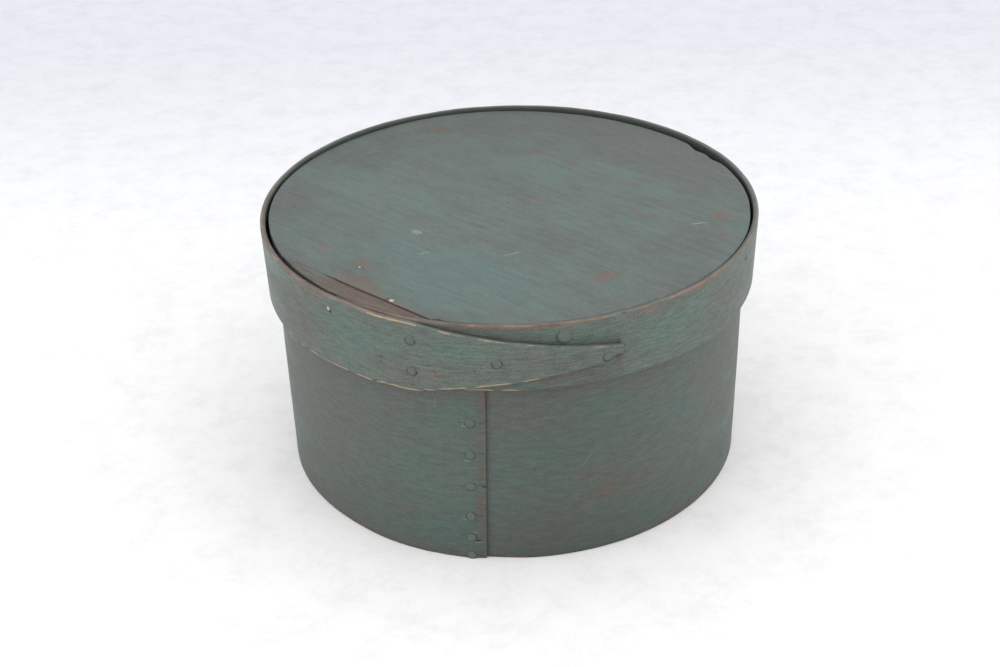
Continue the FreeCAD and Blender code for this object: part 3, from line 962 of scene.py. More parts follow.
@dataclass
class BodyStrip(BentStrip):
    """The tall strip of the body, with a straight tacked seam.

    Attributes:
        seam: Angle of the seam at the foot.
        seam_turn: How far it leans up to the mouth, in degrees.
        runs: How far behind the seam the lap has its full thickness, stops being flat and has run out.
        lead: How far in front of the seam the inner layer starts to be pushed in.
        end_wall: Thickness of the outer layer at the seam.
        lap_wall: Full thickness of the outer layer.
        push_in: How far the inner layer is pushed in.
        gap: Space between the layers.
        feather_wall: Thickness of the hidden end.
        zones: Places of more or less ageing.
    """

    name: str = "body_strip"
    low: float = 0.0
    high: float = 122.9
    low_radius: float = 115.5
    high_radius: float = 117.7
    wall: float = 2.6
    cell: float = 2.4
    row: float = 2.2
    seed: int = 10
    seam: float = -7.6
    seam_turn: float = 1.3
    runs: tuple[float, float, float] = (3.0, 20.0, 40.0)
    lead: float = 16.0
    end_wall: float = 1.2
    lap_wall: float = 1.7
    push_in: float = 1.0
    gap: float = 0.25
    feather_wall: float = 0.4
    zones: tuple[Zone, ...] = (
        *spots(Age.THIN, (5, 16, 12, 14, 0.3), (1, 86, 8, 10, 0.35), (25, 40, 14, 14, 0.3),
               (18, 97, 30, 6, 0.35), (-24, 93, 14, 5, 0.35), (-40, 8, 25, 8, 0.2), (-12.5, 85, 4, 8, -0.25),
               (-32, 12, 10, 8, -0.25), (-16, 15, 7, 10, -0.35), (42, 63, 9, 12, -0.15),
               (62, 23, 8, 10, -0.08), (62, 75, 22, 40, 0.2), (8, 40, 20, 60, -0.08),
               (-50, 65, 22, 45, 0.25), (-25, 45, 12, 15, -0.2), (-8.3, 60, 1.4, 60, 0.3)),
        *spots(Age.GRIME_AND_SHADE, (25, 52, 13, 50, 0.09), (13, 5, 28, 20, 0.1), (-38, 25, 12, 20, 0.04),
               (6, 55, 14, 90, 0.15), (-8.8, 60, 1.2, 80, 0.08)),
        *spots(Age.RED, (58, 1, 12, 2, 0.6), (-48, 1, 14, 1.5, 0.5), (-23, 81, 3, 3, 0.3),
               (21, 34, 3.5, 4, 0.55), (16, 45, 3, 4, 0.4), (27.5, 38, 2.5, 3, 0.4), (-7.8, 91, 0.8, 6, 0.7),
               (-8.7, 31.6, 1.2, 6, 0.7), (-8.3, 50.5, 0.9, 4, 0.6), (42, 1, 12, 2, 0.7),
               (-30, 1, 14, 1.5, 0.5), (-19, 52, 2, 2, 0.3)))

    def stations(self) -> list[Station]:
        """The seam, the flat lap and the hidden thinned end."""
        pushed = -self.push_in
        covered = pushed + self.gap
        tail = -self.wall - self.gap
        front, back, feather = (self.seam - run for run in self.runs)
        release = self.seam + self.lead - FULL_TURN
        return [
            Station(self.seam, both(covered + self.end_wall), both(covered)),
            Station(front, both(covered + self.lap_wall), both(covered)),
            Station(back, both(covered + self.lap_wall), both(covered)),
            Station(feather, both(0.0), both(-self.wall)),
            Station(release, both(0.0), both(-self.wall)),
            Station(front - FULL_TURN, both(pushed), both(pushed - self.wall)),
            Station(back - FULL_TURN, both(pushed), both(pushed - self.wall)),
            Station(feather - FULL_TURN, both(tail), both(tail - self.feather_wall)),
        ]

    def slant(self, height: Array) -> Array:
        """The seam leans a little to the right towards the mouth."""
        return self.seam_turn * height / self.high

    def outline(self, angle: Array) -> tuple[Array, Array]:
        """A foot that is slightly worn, and a flat mouth."""
        wobble = Ripple(31, 60.0, 9.0).at(np.radians(angle) * self.low_radius)
        return np.maximum(0.12 + 0.12 * wobble, 0.0), np.full_like(angle, self.high)

    def ageing(self, skin: Skin) -> Ageing:
        """Rubbed seam edge, foot and mouth, painted shade beside the seam's edge and growing towards the
        foot, and a darker inside.
        """
        aged = Ageing(len(skin.angle))
        outward = skin.depth > 0.5
        patchy = Ripple(5, 30.0, 6.0).at(skin.height, skin.angle)
        aged.add(Age.WEAR, (0.2 + 0.3 * patchy) * bell(skin.from_end, 1.2) * outward)
        aged.raise_to(Age.WEAR, (0.8 + 0.3 * patchy) * bell(skin.height - skin.bottom, 0.8))
        aged.raise_to(Age.WEAR, 0.55 * bell(skin.top - skin.height, 0.8))
        aged.add_zones(self.zones, wrap(skin.angle), skin.height)
        # Painted shade on the inner layer just beside the seam's edge, where the lap steps out.
        beside = (skin.angle - (self.seam - FULL_TURN)) * math.radians(1) * self.low_radius
        aged.raise_to(Age.GRIME_AND_SHADE, 0.3 * bell(beside, 0.8) * (skin.angle < self.seam - 300))
        # Painted shade growing from half way down to the foot, and a narrow darker band at the foot line.
        aged.add(Age.GRIME_AND_SHADE, (0.15 * climb(skin.height, 48, 2) + 0.12 * bell(skin.height, 3.0)) * outward)
        # The inner face is a little darker.
        aged.raise_to(Age.GRIME_AND_SHADE, 0.2 * (~outward))
        return aged


@dataclass
class LidStrip(BentStrip):
    """The strip of the lid, whose outer end is a tapered finger with a broken lower corner.

    Attributes:
        tip: Angle of the finger's tip.
        front: Angle behind which the lap has its full thickness.
        back: Angle where it stops being flat.
        feather: Angle where it has run out.
        finger_wall: Thickness of the finger.
        gap: Space between the layers.
        feather_wall: Thickness of the hidden end.
        push_in: How far the inner layer is pushed in, at the lip and at the rim.
        shoulder: How far across the box the finger's upper edge leaves the rim.
        root: How far across its lower edge leaves the lip.
        finger_top: Height of its upper edge at the tip.
        foot_reach: How far across its lower edge reaches the tip's lower corner.
        finger_foot: Height of that corner.
        break_reach: How far across the broken part of the corner ends.
        finger_break: Height of the lower edge from there to the tip.
        shaped_from: Angle from which the outline is the finger's.
        worn_from: Angle from which the edges are worn as the finger's are.
        lip_line: How far the lip strays from its height, by angle.
        zones: Places of more or less ageing.
    """

    name: str = "lid_strip"
    low: float = 98.4
    high: float = 132.8
    low_radius: float = 122.05
    high_radius: float = 123.3
    wall: float = 2.6
    cell: float = 1.6
    row: float = 1.5
    rounding: float = 0.55
    paint_reach: float = 9.9
    seed: int = 9
    tip: float = 23.0
    front: float = -4.0
    back: float = -21.0
    feather: float = -41.5
    finger_wall: float = 2.7
    gap: float = 0.25
    feather_wall: float = 0.4
    push_in: Pair = (0.1, 0.8)
    shoulder: float = -46.0
    root: float = -40.0
    finger_top: float = 118.1
    foot_reach: float = 39.8
    finger_foot: float = 110.3
    break_reach: float = 44.6
    finger_break: float = 113.5
    shaped_from: float = -60.0
    worn_from: float = -46.0
    lip_line: tuple[Pair, ...] = (
        (-180, 0.0), (-110, -1.0), (-75, -2.6), (-57, -3.4), (-33, -3.0), (-28, -1.5),
        (-22, -1.6), (-15, 0.2), (-5, 0.4), (20, 0.6), (40, 0.2), (53, -1.0),
        (58, -1.6), (62, -0.4), (90, -0.6), (180, 0.0))
    zones: tuple[Zone, ...] = (
        *spots(Age.THIN, (-55, 103, 6, 8, 0.35), (9.5, 105.9, 14, 3.5, 0.35), (-58, 117, 11, 10, 0.15),
               (-26, 108, 7, 6, 0.2), (-37, 116, 7, 8, -0.35), (-12.3, 120, 6, 4, -0.3),
               (16, 125, 6, 4, -0.25), (35, 115, 8, 8, -0.2), (41, 121, 6, 5, -0.2), (-68, 128, 8, 6, -0.3),
               (56, 112, 14, 12, 0.12), (-2, 112, 12, 8, 0.12), (-3, 104, 8, 5, -0.25)),
        *spots(Age.GRIME_AND_SHADE, (14, 112, 12, 8, 0.09), (-52, 115, 13, 13, 0.08)),
        *spots(Age.RED, (-17, 108, 2.5, 2.2, 0.55), (30, 130, 3, 2, 0.6), (20.6, 113.4, 2.4, 1.6, 0.6),
               (52, 132, 5, 1.4, 0.6), (43, 132, 4, 1.4, 0.6), (2, 132, 16, 1.2, 0.7),
               (-50, 131, 10, 1.5, 0.45), (8, 104, 8, 2, 0.35)))

    def stations(self) -> list[Station]:
        """The finger, the flat lap and the hidden thinned end."""
        low, high = self.push_in
        covered = (self.gap - low, self.gap - high)
        over = tuple(c + self.finger_wall for c in covered)
        pushed = (-low, -high)
        within = tuple(p - self.wall for p in pushed)
        tail = -self.wall - self.gap
        return [
            Station(self.tip, both(self.gap + self.finger_wall), both(self.gap)),
            Station(self.front, over, covered),
            Station(self.back, over, covered),
            Station(self.feather, both(0.0), both(-self.wall)),
            Station(self.tip - FULL_TURN, both(0.0), both(-self.wall)),
            Station(self.front - FULL_TURN, pushed, within),
            Station(self.back - FULL_TURN, pushed, within),
            Station(self.feather - FULL_TURN, both(tail), both(tail - self.feather_wall)),
        ]

    def outline(self, angle: Array) -> tuple[Array, Array]:
        """The wavy lower edge, the rim and the finger."""
        mean = (self.low_radius + self.high_radius) / 2
        line = np.array(self.lip_line)
        sag = np.interp(wrap(angle), line[:, 0], line[:, 1])
        reach = mean * np.sin(np.radians(angle))
        tip_reach = mean * math.sin(math.radians(self.tip))
        on_finger = angle > self.shaped_from
        foot = np.interp(reach, (self.root, self.foot_reach, self.break_reach, tip_reach),
                         (0.0, self.finger_foot - self.low, self.finger_break - self.low,
                          self.finger_break - self.low))
        lifted = np.where(foot > 0, np.maximum(foot + sag * (1 - foot / 12), 0), sag)
        bottom = self.low + np.where(on_finger, lifted, sag)
        head = np.interp(reach, (self.shoulder, tip_reach), (self.high, self.finger_top))
        top = np.where(on_finger, head, self.high)
        wobble = Ripple(17, 40.0, 7.0).at(reach, angle * 0.3)
        return bottom + 0.15 * wobble, top - 0.12 + 0.12 * Ripple(23, 50.0, 9.0).at(angle * ARC)

    def ageing(self, skin: Skin) -> Ageing:
        """Rubbed rim, lip and finger edges, a painted highlight on the finger's upper edge, painted shade
        round the finger and on the inner rim, and a darker inside.
        """
        aged = Ageing(len(skin.angle))
        place = wrap(skin.angle)
        outward = skin.depth > 0.6
        on_finger = skin.angle > self.worn_from
        upper = bell(skin.top - skin.height, 0.75)
        lower = bell(skin.height - skin.bottom, 0.65)
        stretch = Ripple(41, 55.0, 9.0).at(skin.angle * ARC, skin.height * 0.2)
        crumbs = Ripple(43, 16.0, 3.0).at(skin.angle * ARC)
        left = window(place, (-92, -70), (-12, -30))
        front = window(place, (-26, -14), (22, 10))
        bare = 0.5 + 0.44 * left + 0.45 * front + 0.14 * stretch
        aged.add(Age.WEAR, upper * np.where(on_finger & (place > -24), 0.36 + 0.2 * stretch, bare))
        right = window(place, (8, 24), (125, 105))
        aged.raise_to(Age.WEAR, lower * (0.62 + 0.22 * right + 0.22 * stretch))
        # Freshly bared wood along the finger's upper edge, and from about -13 degrees to the tip a painted
        # highlight where the rounded edge catches the light.
        scar_and_highlight = (0.9 + 0.2 * crumbs) * window(skin.angle, (-33, -31.5), (-19, -20.5))
        scar_and_highlight = np.maximum(scar_and_highlight, 0.85 * bell(skin.angle + 14, 2.0))
        scar_and_highlight = np.maximum(scar_and_highlight, (0.44 + 0.3 * crumbs) * climb(skin.angle, -13, -8))
        scar_and_highlight = scar_and_highlight * (skin.depth > 0.8) * bell(skin.top - skin.height, 0.85)
        rim_scar = (0.24 + 0.28 * crumbs) * bell(place - 12, 40)
        aged.add(Age.RAW, np.where(on_finger, scar_and_highlight, upper * rim_scar))
        lip_scar = (0.52 + 0.6 * crumbs) * window(place, (-66, -58), (10, -2)) + 0.3 * (1 + crumbs)
        aged.raise_to(Age.RAW, bell(skin.height - skin.bottom, 1.1) * outward * lip_scar)
        aged.add_zones(self.zones, place, skin.height)
        # Painted shade above, below and at the end of the finger, on the layer that it covers.
        finger_low, finger_high = self.outline(np.minimum(skin.angle + FULL_TURN, self.tip))
        above = np.maximum(skin.height - finger_high, 0)
        below = np.maximum(finger_low - skin.height, 0)
        beyond = np.maximum(skin.angle - (self.tip - FULL_TURN), 0) * ARC
        near_lap = outward * (skin.angle < self.tip - FULL_TURN + 6)
        shade = np.where(above > 0, 0.3 * bell(above, 8.0), 0.2) + 0.6 * bell(below, 1.4) * (below > 0)
        shade = np.where((above <= 0) & (below <= 1.5) & (beyond > 0), 0.85, shade)
        aged.raise_to(Age.GRIME_AND_SHADE, shade * bell(beyond, 1.1) * near_lap)
        # Inside: a little darker, and painted shade on the inner rim above the board.
        aged.raise_to(Age.GRIME_AND_SHADE, (skin.depth < 0.4) * (0.25 + 0.5 * (skin.height > 122)))
        return aged


# The boards


@dataclass
class Board:
    """A round sawn board.

    Attributes:
        name: Name of the piece.
        low: Height of its underside.
        thickness: Its thickness.
        along: Half its size along the grain.
        across: Half its size across the grain.
        turn: Angle of the grain in degrees.
        cells: Faces each way.
        rounding: Rounding of its edges.
        rim_from: Share of the radius from which the edge is reshaped.
        zones: Places of more or less ageing on its top.
    """

    name: str
    low: float
    thickness: float
    along: float
    across: float
    turn: float
    cells: int = 120
    rounding: float = 0.6
    rim_from: float = 0.86
    zones: tuple[Zone, ...] = ()

    def edge(self, angle: Array) -> Array:
        """How far the edge falls short of the oval at each angle round the box."""
        return np.zeros_like(angle)

    def dip(self, x: Array, y: Array) -> Array:
        """How far the top lies lower at each place."""
        return np.zeros_like(x)

    def model(self) -> Piece:
        """Build the board as a square slab and round it.

        Returns:
            The board in metres.
        """
        side = 2 * self.along
        piece = slab(self.name, side, side, self.thickness, self.cells, self.cells, self.rounding)
        downward = of_faces(piece, "normal")[:, 2] < -0.5
        flat = vertices(piece) / MM
        x = flat[:, 0] / self.along - 1
        y = flat[:, 1] / self.along - 1
        grain_x = x * np.sqrt(np.maximum(1 - y ** 2 / 2, 0)) * self.along
        grain_y = y * np.sqrt(np.maximum(1 - x ** 2 / 2, 0)) * self.across
        turn = math.radians(self.turn)
        place_x = grain_x * math.cos(turn) - grain_y * math.sin(turn)
        place_y = grain_x * math.sin(turn) + grain_y * math.cos(turn)
        radius = np.hypot(place_x, place_y)
        angle = np.degrees(np.arctan2(place_x, -place_y))
        rim_share = np.clip((radius / self.across - self.rim_from) / (1 - self.rim_from), 0, 1) ** 2
        shrink = 1 - self.edge(angle) * rim_share / np.maximum(radius, 1)
        depth = flat[:, 2] / self.thickness
        cup = Ripple(7, 160.0, 40.0).at(place_x, place_y) * 0.12 * depth
        height = self.low + flat[:, 2] + cup - self.dip(place_x, place_y) * depth
        places = np.stack((place_x * shrink, place_y * shrink, height), axis=1)
        move_vertices(piece, places * MM)
        aged = self.ageing(angle, radius, depth)
        aged.add_zones(self.zones, grain_x, grain_y)
        aged.store(piece)
        set_slots(piece, downward)
        return piece

    def ageing(self, angle: Array, radius: Array, depth: Array) -> Ageing:
        """Amounts of ageing at each vertex."""
        aged = Ageing(len(radius))
        aged.add(Age.GRIME_AND_SHADE, 0.35 * bell(self.across - radius, 3.0))
        return aged


@dataclass
class LidTop(Board):
    """The board of the lid, split along the grain at the front left and chipped at the back right.

    Attributes:
        setback: Distance of the crack from the widest point across the grain.
        crack_gap: Width of the crack.
        sliver_wear: How much thinner the sliver is than the board.
        back_dip: How far the top is dished at the back edge.
        chips: Angle, depth and width in degrees of each chip in the edge.
    """

    name: str = "lid_top"
    low: float = 122.9
    thickness: float = 9.0
    along: float = 120.1
    across: float = 118.3
    turn: float = -41.8
    setback: float = 9.9
    crack_gap: float = 0.3
    sliver_wear: float = 0.6
    back_dip: float = 0.9
    chips: tuple[tuple[float, float, float], ...] = ((120.5, 2.5, 3.2), (114.0, 1.8, 2.6), (-16.5, 1.3, 1.0))
    zones: tuple[Zone, ...] = (
        *spots(Age.RED, (-89.6, 46.8, 7, 2.8, 0.75), (-89, 58, 3, 2, 0.5), (-32.4, 55, 6, 2.2, 0.7),
               (-4.6, 56.2, 4, 3, 0.6), (7, 52, 4, 2.5, 0.45), (31.4, 56, 4, 2.5, 0.5),
               (56.9, 30.8, 4.5, 2.2, 0.55), (5.5, 13.9, 4, 2.5, 0.5), (90, 55.6, 5, 8, 0.55),
               (102, 38, 3, 6, 0.4), (84.8, -26.9, 6, 4, 0.45), (83, -34, 5, 4, 0.45),
               (-61.5, -35, 4, 2, 0.5), (-96, 3, 5, 2, 0.6), (9.9, -44.2, 2.5, 2.2, 0.6),
               (-39.7, -88.6, 4, 2.2, 0.6), (-13, -90, 6, 2.6, 0.8), (-1.4, -102.6, 11, 4.2, 0.85),
               (14, -113, 34, 6.0, 0.9), (55, 92, 8, 4, 0.3)),
        # Most of these spots paint shade, darkening the top towards the back and the left; the one at (-3,
        # -98) darkens a rubbed patch at the front.
        *spots(Age.GRIME_AND_SHADE, (-40, 88, 55, 35, 0.1), (-98, 4, 25, 42, 0.18), (-82, 54, 22, 24, 0.14),
               (-20, 15, 28, 20, 0.06), (-80, -78, 24, 26, 0.12), (-3, -98, 16, 7, 0.16),
               (-66, 62, 66, 50, 0.13), (-110, -12, 28, 50, 0.14), (-12, 104, 45, 16, 0.06)),
        *spots(Age.THIN, (-37, -28, 16, 14, -0.22), (31, -86, 24, 14, -0.2), (24.9, 101, 40, 22, 0.4),
               (-24, 96, 30, 15, 0.35), (-71.7, 76, 20, 15, 0.25), (-26.5, -36.2, 8, 6, 0.25),
               (-94, -68, 12, 14, 0.35), (116, -8, 14, 25, 0.25), (46.5, -12.6, 14, 10, 0.25),
               (91, 19, 10, 18, 0.15), (55, 80, 20, 15, 0.3), (-45, -106, 20, 5, 0.3),
               (-72, -36, 16, 12, -0.25), (37.8, -64, 30, 18, -0.35), (63, 0.7, 10, 7, -0.2),
               (51.5, 60.8, 12, 7, -0.25), (-5.3, 38.7, 14, 8, -0.2), (0, -70, 30, 14, -0.3)))

    def away(self) -> Array:
        """Direction across the grain, towards the split."""
        turn = math.radians(self.turn)
        return np.array((math.sin(turn), -math.cos(turn)))

    def edge(self, angle: Array) -> Array:
        """Chips in the edge, and small wear."""
        bite = sum(depth * bell(angle - place, width) for place, depth, width in self.chips)
        return bite + 0.15 + 0.15 * Ripple(3, 30.0, 5.0).at(angle * 2.0)

    def dip(self, x: Array, y: Array) -> Array:
        """The top has dished a little towards the back edge."""
        return self.back_dip * climb(np.hypot(x, y), 70, 118) * climb(y, 10, 90)

    def ageing(self, angle: Array, radius: Array, depth: Array) -> Ageing:
        """Rubbed edge, rubbed most at the front, and painted shade low on the edge, in the gap to the rim."""
        aged = Ageing(len(radius))
        at_edge = bell(np.maximum(self.across - 0.6 - radius, 0), 0.8)
        stretch = Ripple(9, 40.0, 8.0).at(angle * ARC)
        aged.add(Age.WEAR, at_edge * (0.25 + 0.2 * stretch))
        # Painted shade on the lower part of the edge, in the dark gap between board and rim.
        aged.add(Age.GRIME_AND_SHADE, 0.35 * at_edge * (depth < 0.75))
        return aged

    def split(self, piece: Piece, setback: float, keep_outer: bool) -> None:
        """Cut a piece along the grain and keep one side.

        Args:
            piece: What is cut.
            setback: Distance of the cut from the widest point across the grain.
            keep_outer: Whether the outer sliver is kept, not the board.
        """
        away = self.away()
        take(piece)
        bpy.ops.object.mode_set(mode="EDIT")
        bpy.ops.mesh.select_all(action="SELECT")
        bpy.ops.mesh.bisect(plane_co=(*(away * (self.across - setback) * MM), 0), plane_no=(*away, 0),
                            use_fill=True, clear_inner=keep_outer, clear_outer=not keep_outer)
        bpy.ops.object.mode_set(mode="OBJECT")
        slots = read(piece.data.polygons, "material_index", 1, np.int32)[:, 0]
        facing = np.abs(of_faces(piece, "normal")[:, :2] @ away) > 0.99
        near = np.abs(of_faces(piece, "center")[:, :2] @ away - (self.across - setback) * MM) < 0.0001
        slots[facing & near] = 2
        set_slots(piece, slots)

    def roughen(self, piece: Piece, setback: float) -> None:
        """Make the cut edge wander a little, as split wood does."""
        away = self.away()
        places = vertices(piece)
        beyond = places[:, :2] @ away / MM - (self.across - setback)
        run = places[:, :2] @ np.array((-away[1], away[0])) / MM
        shift = Ripple(13, 60.0, 12.0).at(run) * 0.35 * bell(beyond, 1.6) * MM
        places[:, :2] += shift[:, None] * away
        move_vertices(piece, places)

    def rejoin(self, piece: Piece) -> None:
        """Let the left end of the sliver run into the board, where the wood is not split yet."""
        away = self.away()
        places = vertices(piece)
        beyond = places[:, :2] @ away / MM - (self.across - self.setback)
        whole = climb(places[:, :2] @ np.array((-away[1], away[0])) / MM, -8, -24)
        places[:, :2] -= (whole * (self.crack_gap - 0.05) * bell(beyond, 2.0) * MM)[:, None] * away
        upper = places[:, 2] > (self.low + self.thickness / 2) * MM
        places[:, 2] += whole * (self.sliver_wear - 0.05) * upper * MM
        move_vertices(piece, places)


# Fasteners


@dataclass(frozen=True)
class Seat:
    """Where a fastener sits: angle round the box, height and radius of the face."""

    angle: float
    height: float
    radius: float


@dataclass
class TackMaker:
    """Models tacks: a low hammered head in a dirty groove darkened further with painted shade, and a clinched
    point.

    Attributes:
        head: Radius of the head.
        proud: How far the head stands out.
        seed: Start of the random numbers for dents and turns.
        bright: How pale each head is, by number: worn bare, with a painted glint.
    """

    head: float = 2.15
    proud: float = 0.45
    seed: int = 3
    bright: tuple[float, ...] = ()

    def model(self, name: str) -> Piece:
        """One head at the origin, seen along -Y."""
        r, p = self.head, self.proud
        rings = [(r * 1.3, -0.5), (r * 1.28, 0.04), (r * 1.2, 0.05), (r * 1.1, 0.04), (r * 1.03, 0.03),
                 (r * 1.02, p * 0.55), (r * 0.9, p * 0.86), (r * 0.62, p * 0.97), (r * 0.3, p),
                 (r * 0.05, p * 0.98)]
        return turned(name, rings, 26)

    def point(self, name: str, length: float, radius: float) -> Piece:
        """A clinched point that lies half sunk in the inner face and points up."""
        start_fresh()
        bpy.ops.mesh.primitive_cone_add(vertices=12, radius1=radius * MM, radius2=0.25 * MM,
                                        depth=length * MM, location=(0, 0, length * MM / 2))
        piece = bpy.context.object
        piece.name = name
        bpy.ops.object.transform_apply(location=True, rotation=True, scale=True)
        bpy.ops.object.mode_set(mode="EDIT")
        bpy.ops.mesh.bevel(offset=0.15 * MM, segments=2, affect="EDGES")
        bpy.ops.object.mode_set(mode="OBJECT")
        return piece

    def age(self, piece: Piece, number: int, groove: float) -> None:
        """Store the dark ring round a head, dirty and painted shade, and how pale the head is, worn bare with
        a painted glint.
        """
        places = vertices(piece) / MM
        radius = np.hypot(places[:, 0], places[:, 2])
        heading = np.degrees(np.arctan2(places[:, 2], places[:, 0]))
        uneven = 0.5 + 0.5 * np.sin(np.radians(heading) * 2 + number * 1.7) * np.sin(number * 2.3 + 0.6)
        aged = Ageing(len(radius))
        # A dark ring round the head, stronger on some sides: dirty, and painted shade of the recess it sits
        # in.
        ring_shade_and_dirt = groove * (0.35 + 0.65 * uneven)
        aged.add(Age.GRIME_AND_SHADE, ring_shade_and_dirt * bell(radius - self.head * 1.15, self.head * 0.19))
        # How pale the head is: worn bare, with a painted glint.
        bright = self.bright[number] if number < len(self.bright) else 0.0
        aged.add(Age.RAW, bright * (radius < self.head * 0.95))
        aged.store(piece)

    def place(self, master: Piece, name: str, seat: Seat, lean: float, number: int, groove: float) -> Piece:
        """Set a copy of a piece on the wall.

        Args:
            master: What is copied.
            name: Name of the copy.
            seat: Where it sits.
            lean: Slope of the wall in degrees.
            number: Which copy it is, for its own dents.
            groove: How dark its groove is: dirty, and painted shade.

        Returns:
            The copy, its place in its mesh.
        """
        twin = copy_of(master, name)
        self.age(twin, number, groove)
        places = vertices(twin)
        dents = Ripple(self.seed + number, 4.0, 1.6, 6).at(places[:, 0] / MM, places[:, 2] / MM)
        places[:, 1] += dents * 0.09 * MM * (places[:, 1] < -0.1 * MM)
        move_vertices(twin, places)
        spin = Matrix.Rotation(random.Random(self.seed * 31 + number).uniform(-0.3, 0.3), 4, "Y")
        turn = math.radians(seat.angle)
        spot = Matrix.Translation((seat.radius * MM * math.sin(turn), -seat.radius * MM * math.cos(turn),
                                   seat.height * MM))
        tilt = Matrix.Rotation(turn, 4, "Z") @ Matrix.Rotation(math.radians(lean), 4, "X")
        twin.data.transform(spot @ tilt @ spin)
        places = vertices(twin)
        places[:, 2] = np.maximum(places[:, 2], 0.0)
        move_vertices(twin, places)
        return twin


@dataclass
class Fasteners:
    """All tacks, nails and sprigs of the box.

    Attributes:
        body: The strip of the body.
        lid: The strip of the lid.
        shares: How far up the seam each of its tacks sits.
        finger_places: Angle and share of the height of each tack of the finger, and whether the wall is
            pushed in there.
        setback: How far the tacks of the seam sit from its edge.
        margin: How far the last of them stay from the foot and the mouth.
        rim_angle: Angle of the large nail of the lid.
        rim_head: Radius of its head.
        rim_sunk: How far it is sunk into the wall.
        nail_height: Height of the nails that hold the lid's board.
        point_length: Length of a clinched point.
        point_radius: Its radius at the thick end.
        lid_sprigs: Angles of the sprigs of the lid.
        bottom_sprigs: Angles of the sprigs of the bottom board.
    """

    body: BodyStrip
    lid: LidStrip
    shares: tuple[float, ...] = (0.0, 0.09, 0.195, 0.343, 0.493, 0.644, 0.83, 0.942)
    finger_places: tuple[tuple[float, float, bool], ...] = (
        (-21.6, 0.738, True), (-21.6, 0.265, True), (-3.6, 0.488, True), (19.4, 0.446, False))
    setback: float = 7.3
    margin: float = 2.0
    rim_angle: float = 10.5
    rim_head: float = 3.2
    rim_sunk: float = 0.4
    nail_height: float = 126.05
    point_length: float = 5.0
    point_radius: float = 0.75
    lid_sprigs: tuple[float, ...] = (-43.0, 65.0, 118.0, 172.0, -134.0, -86.0)
    bottom_sprigs: tuple[float, ...] = (48.0, 98.0, 148.0, -162.0, -112.0, -62.0)

    def seam_seats(self) -> list[Seat]:
        """The row of tacks down the body seam."""
        seats = []
        body = self.body
        for share in self.shares:
            height = self.margin + share * (body.high - 2 * self.margin)
            radius = body.radius_at(height / body.high) + body.gap + body.lap_wall - body.push_in
            seam = body.seam + body.seam_turn * height / body.high
            seats.append(Seat(seam - math.degrees(self.setback / radius), height, radius))
        return seats

    def finger_seats(self) -> list[Seat]:
        """The four tacks through the finger."""
        seats = []
        lid = self.lid
        low, high = lid.push_in
        for angle, share, pushed in self.finger_places:
            height = lid.low + share * (lid.high - lid.low)
            radius = lid.radius_at(share) + lid.gap + lid.finger_wall - (low + (high - low) * share) * pushed
            seats.append(Seat(angle, height, radius))
        return seats

    def rim_radius(self) -> float:
        """Radius of the lid's outer face where its nails are."""
        return self.lid.radius_at((self.nail_height - self.lid.low) / (self.lid.high - self.lid.low))

    def row(self, name: str, maker: TackMaker, seats: list[Seat], grip: float, lean: float,
            groove: float) -> Piece:
        """Model a row of clinched tacks.

        Args:
            name: Name of the row.
            maker: What makes the tacks.
            seats: Where they sit.
            grip: Thickness of the wood that they go through, or zero for nails with no clinch.
            lean: Slope of the wall in degrees.
            groove: How dark the grooves round the heads are: dirty, and painted shade.

        Returns:
            The row as one piece.
        """
        head = maker.model(f"{name}_head")
        pieces = [maker.place(head, f"{name}_{n}", s, lean, n, groove) for n, s in enumerate(seats)]
        bpy.data.objects.remove(head)
        if grip:
            point = maker.point(f"{name}_point", self.point_length, self.point_radius)
            inner = [Seat(s.angle, s.height, s.radius - grip) for s in seats]
            pieces += [maker.place(point, f"{name}_point_{n}", s, lean, n, 0.4) for n, s in enumerate(inner)]
            bpy.data.objects.remove(point)
        row = join(pieces, name)
        smooth(row, 40.0)
        return row


def ring_of_seats(angles: tuple[float, ...], height: float, radius: float) -> list[Seat]:
    """Seats of nails spread round the box at one height."""
    return [Seat(angle, height, radius) for angle in angles]


# Stage


@dataclass(frozen=True)
class PhotoCamera:
    """The camera, where the photograph was taken from.

    Attributes:
        place: Where it stands, in metres.
        pitch: How far it looks down, in radians.
        roll: How far it is tilted, in radians.
        focal: Focal length in pixels of an image 1000 pixels wide.
    """

    place: tuple[float, float, float] = (-0.0061026, -0.7890842, 0.5207015)
    pitch: float = 0.5309
    roll: float = 0.0282
    focal: float = 1762.7243

    def build(self) -> None:
        """Make the camera and use it."""
        ahead = Vector((0, math.cos(self.pitch), -math.sin(self.pitch)))
        right = Vector((1, 0, 0))
        down = Vector((0, -math.sin(self.pitch), -math.cos(self.pitch)))
        image_right = math.cos(self.roll) * right + math.sin(self.roll) * down
        image_down = -math.sin(self.roll) * right + math.cos(self.roll) * down
        data = bpy.data.cameras.new("photo_camera")
        data.sensor_width = 36.0
        data.lens = self.focal * data.sensor_width / 1000
        data.clip_start = 0.01
        camera = bpy.data.objects.new("photo_camera", data)
        bpy.context.collection.objects.link(camera)
        camera.matrix_world = Matrix.Translation(self.place) @ Matrix(
            (image_right, -image_down, -ahead)).transposed().to_4x4()
        bpy.context.scene.camera = camera


@dataclass(frozen=True)
class Lamp:
    """A square lamp that looks at the box.

    Attributes:
        name: Name of the lamp.
        place: Where it hangs, in metres.
        size: Width in metres.
        power: Power in watts.
        aim: Height of the place on the axis that it looks at, in metres.
    """

    name: str
    place: tuple[float, float, float]
    size: float
    power: float
    aim: float = 0.08

    def build(self) -> None:
        """Hang the lamp."""
        data = bpy.data.lights.new(self.name, "AREA")
        data.size = self.size
        data.energy = self.power
        lamp = bpy.data.objects.new(self.name, data)
        bpy.context.collection.objects.link(lamp)
        lamp.location = self.place
        ahead = Vector((0, 0, self.aim)) - Vector(self.place)
        lamp.rotation_euler = ahead.to_track_quat("-Z", "Y").to_euler()


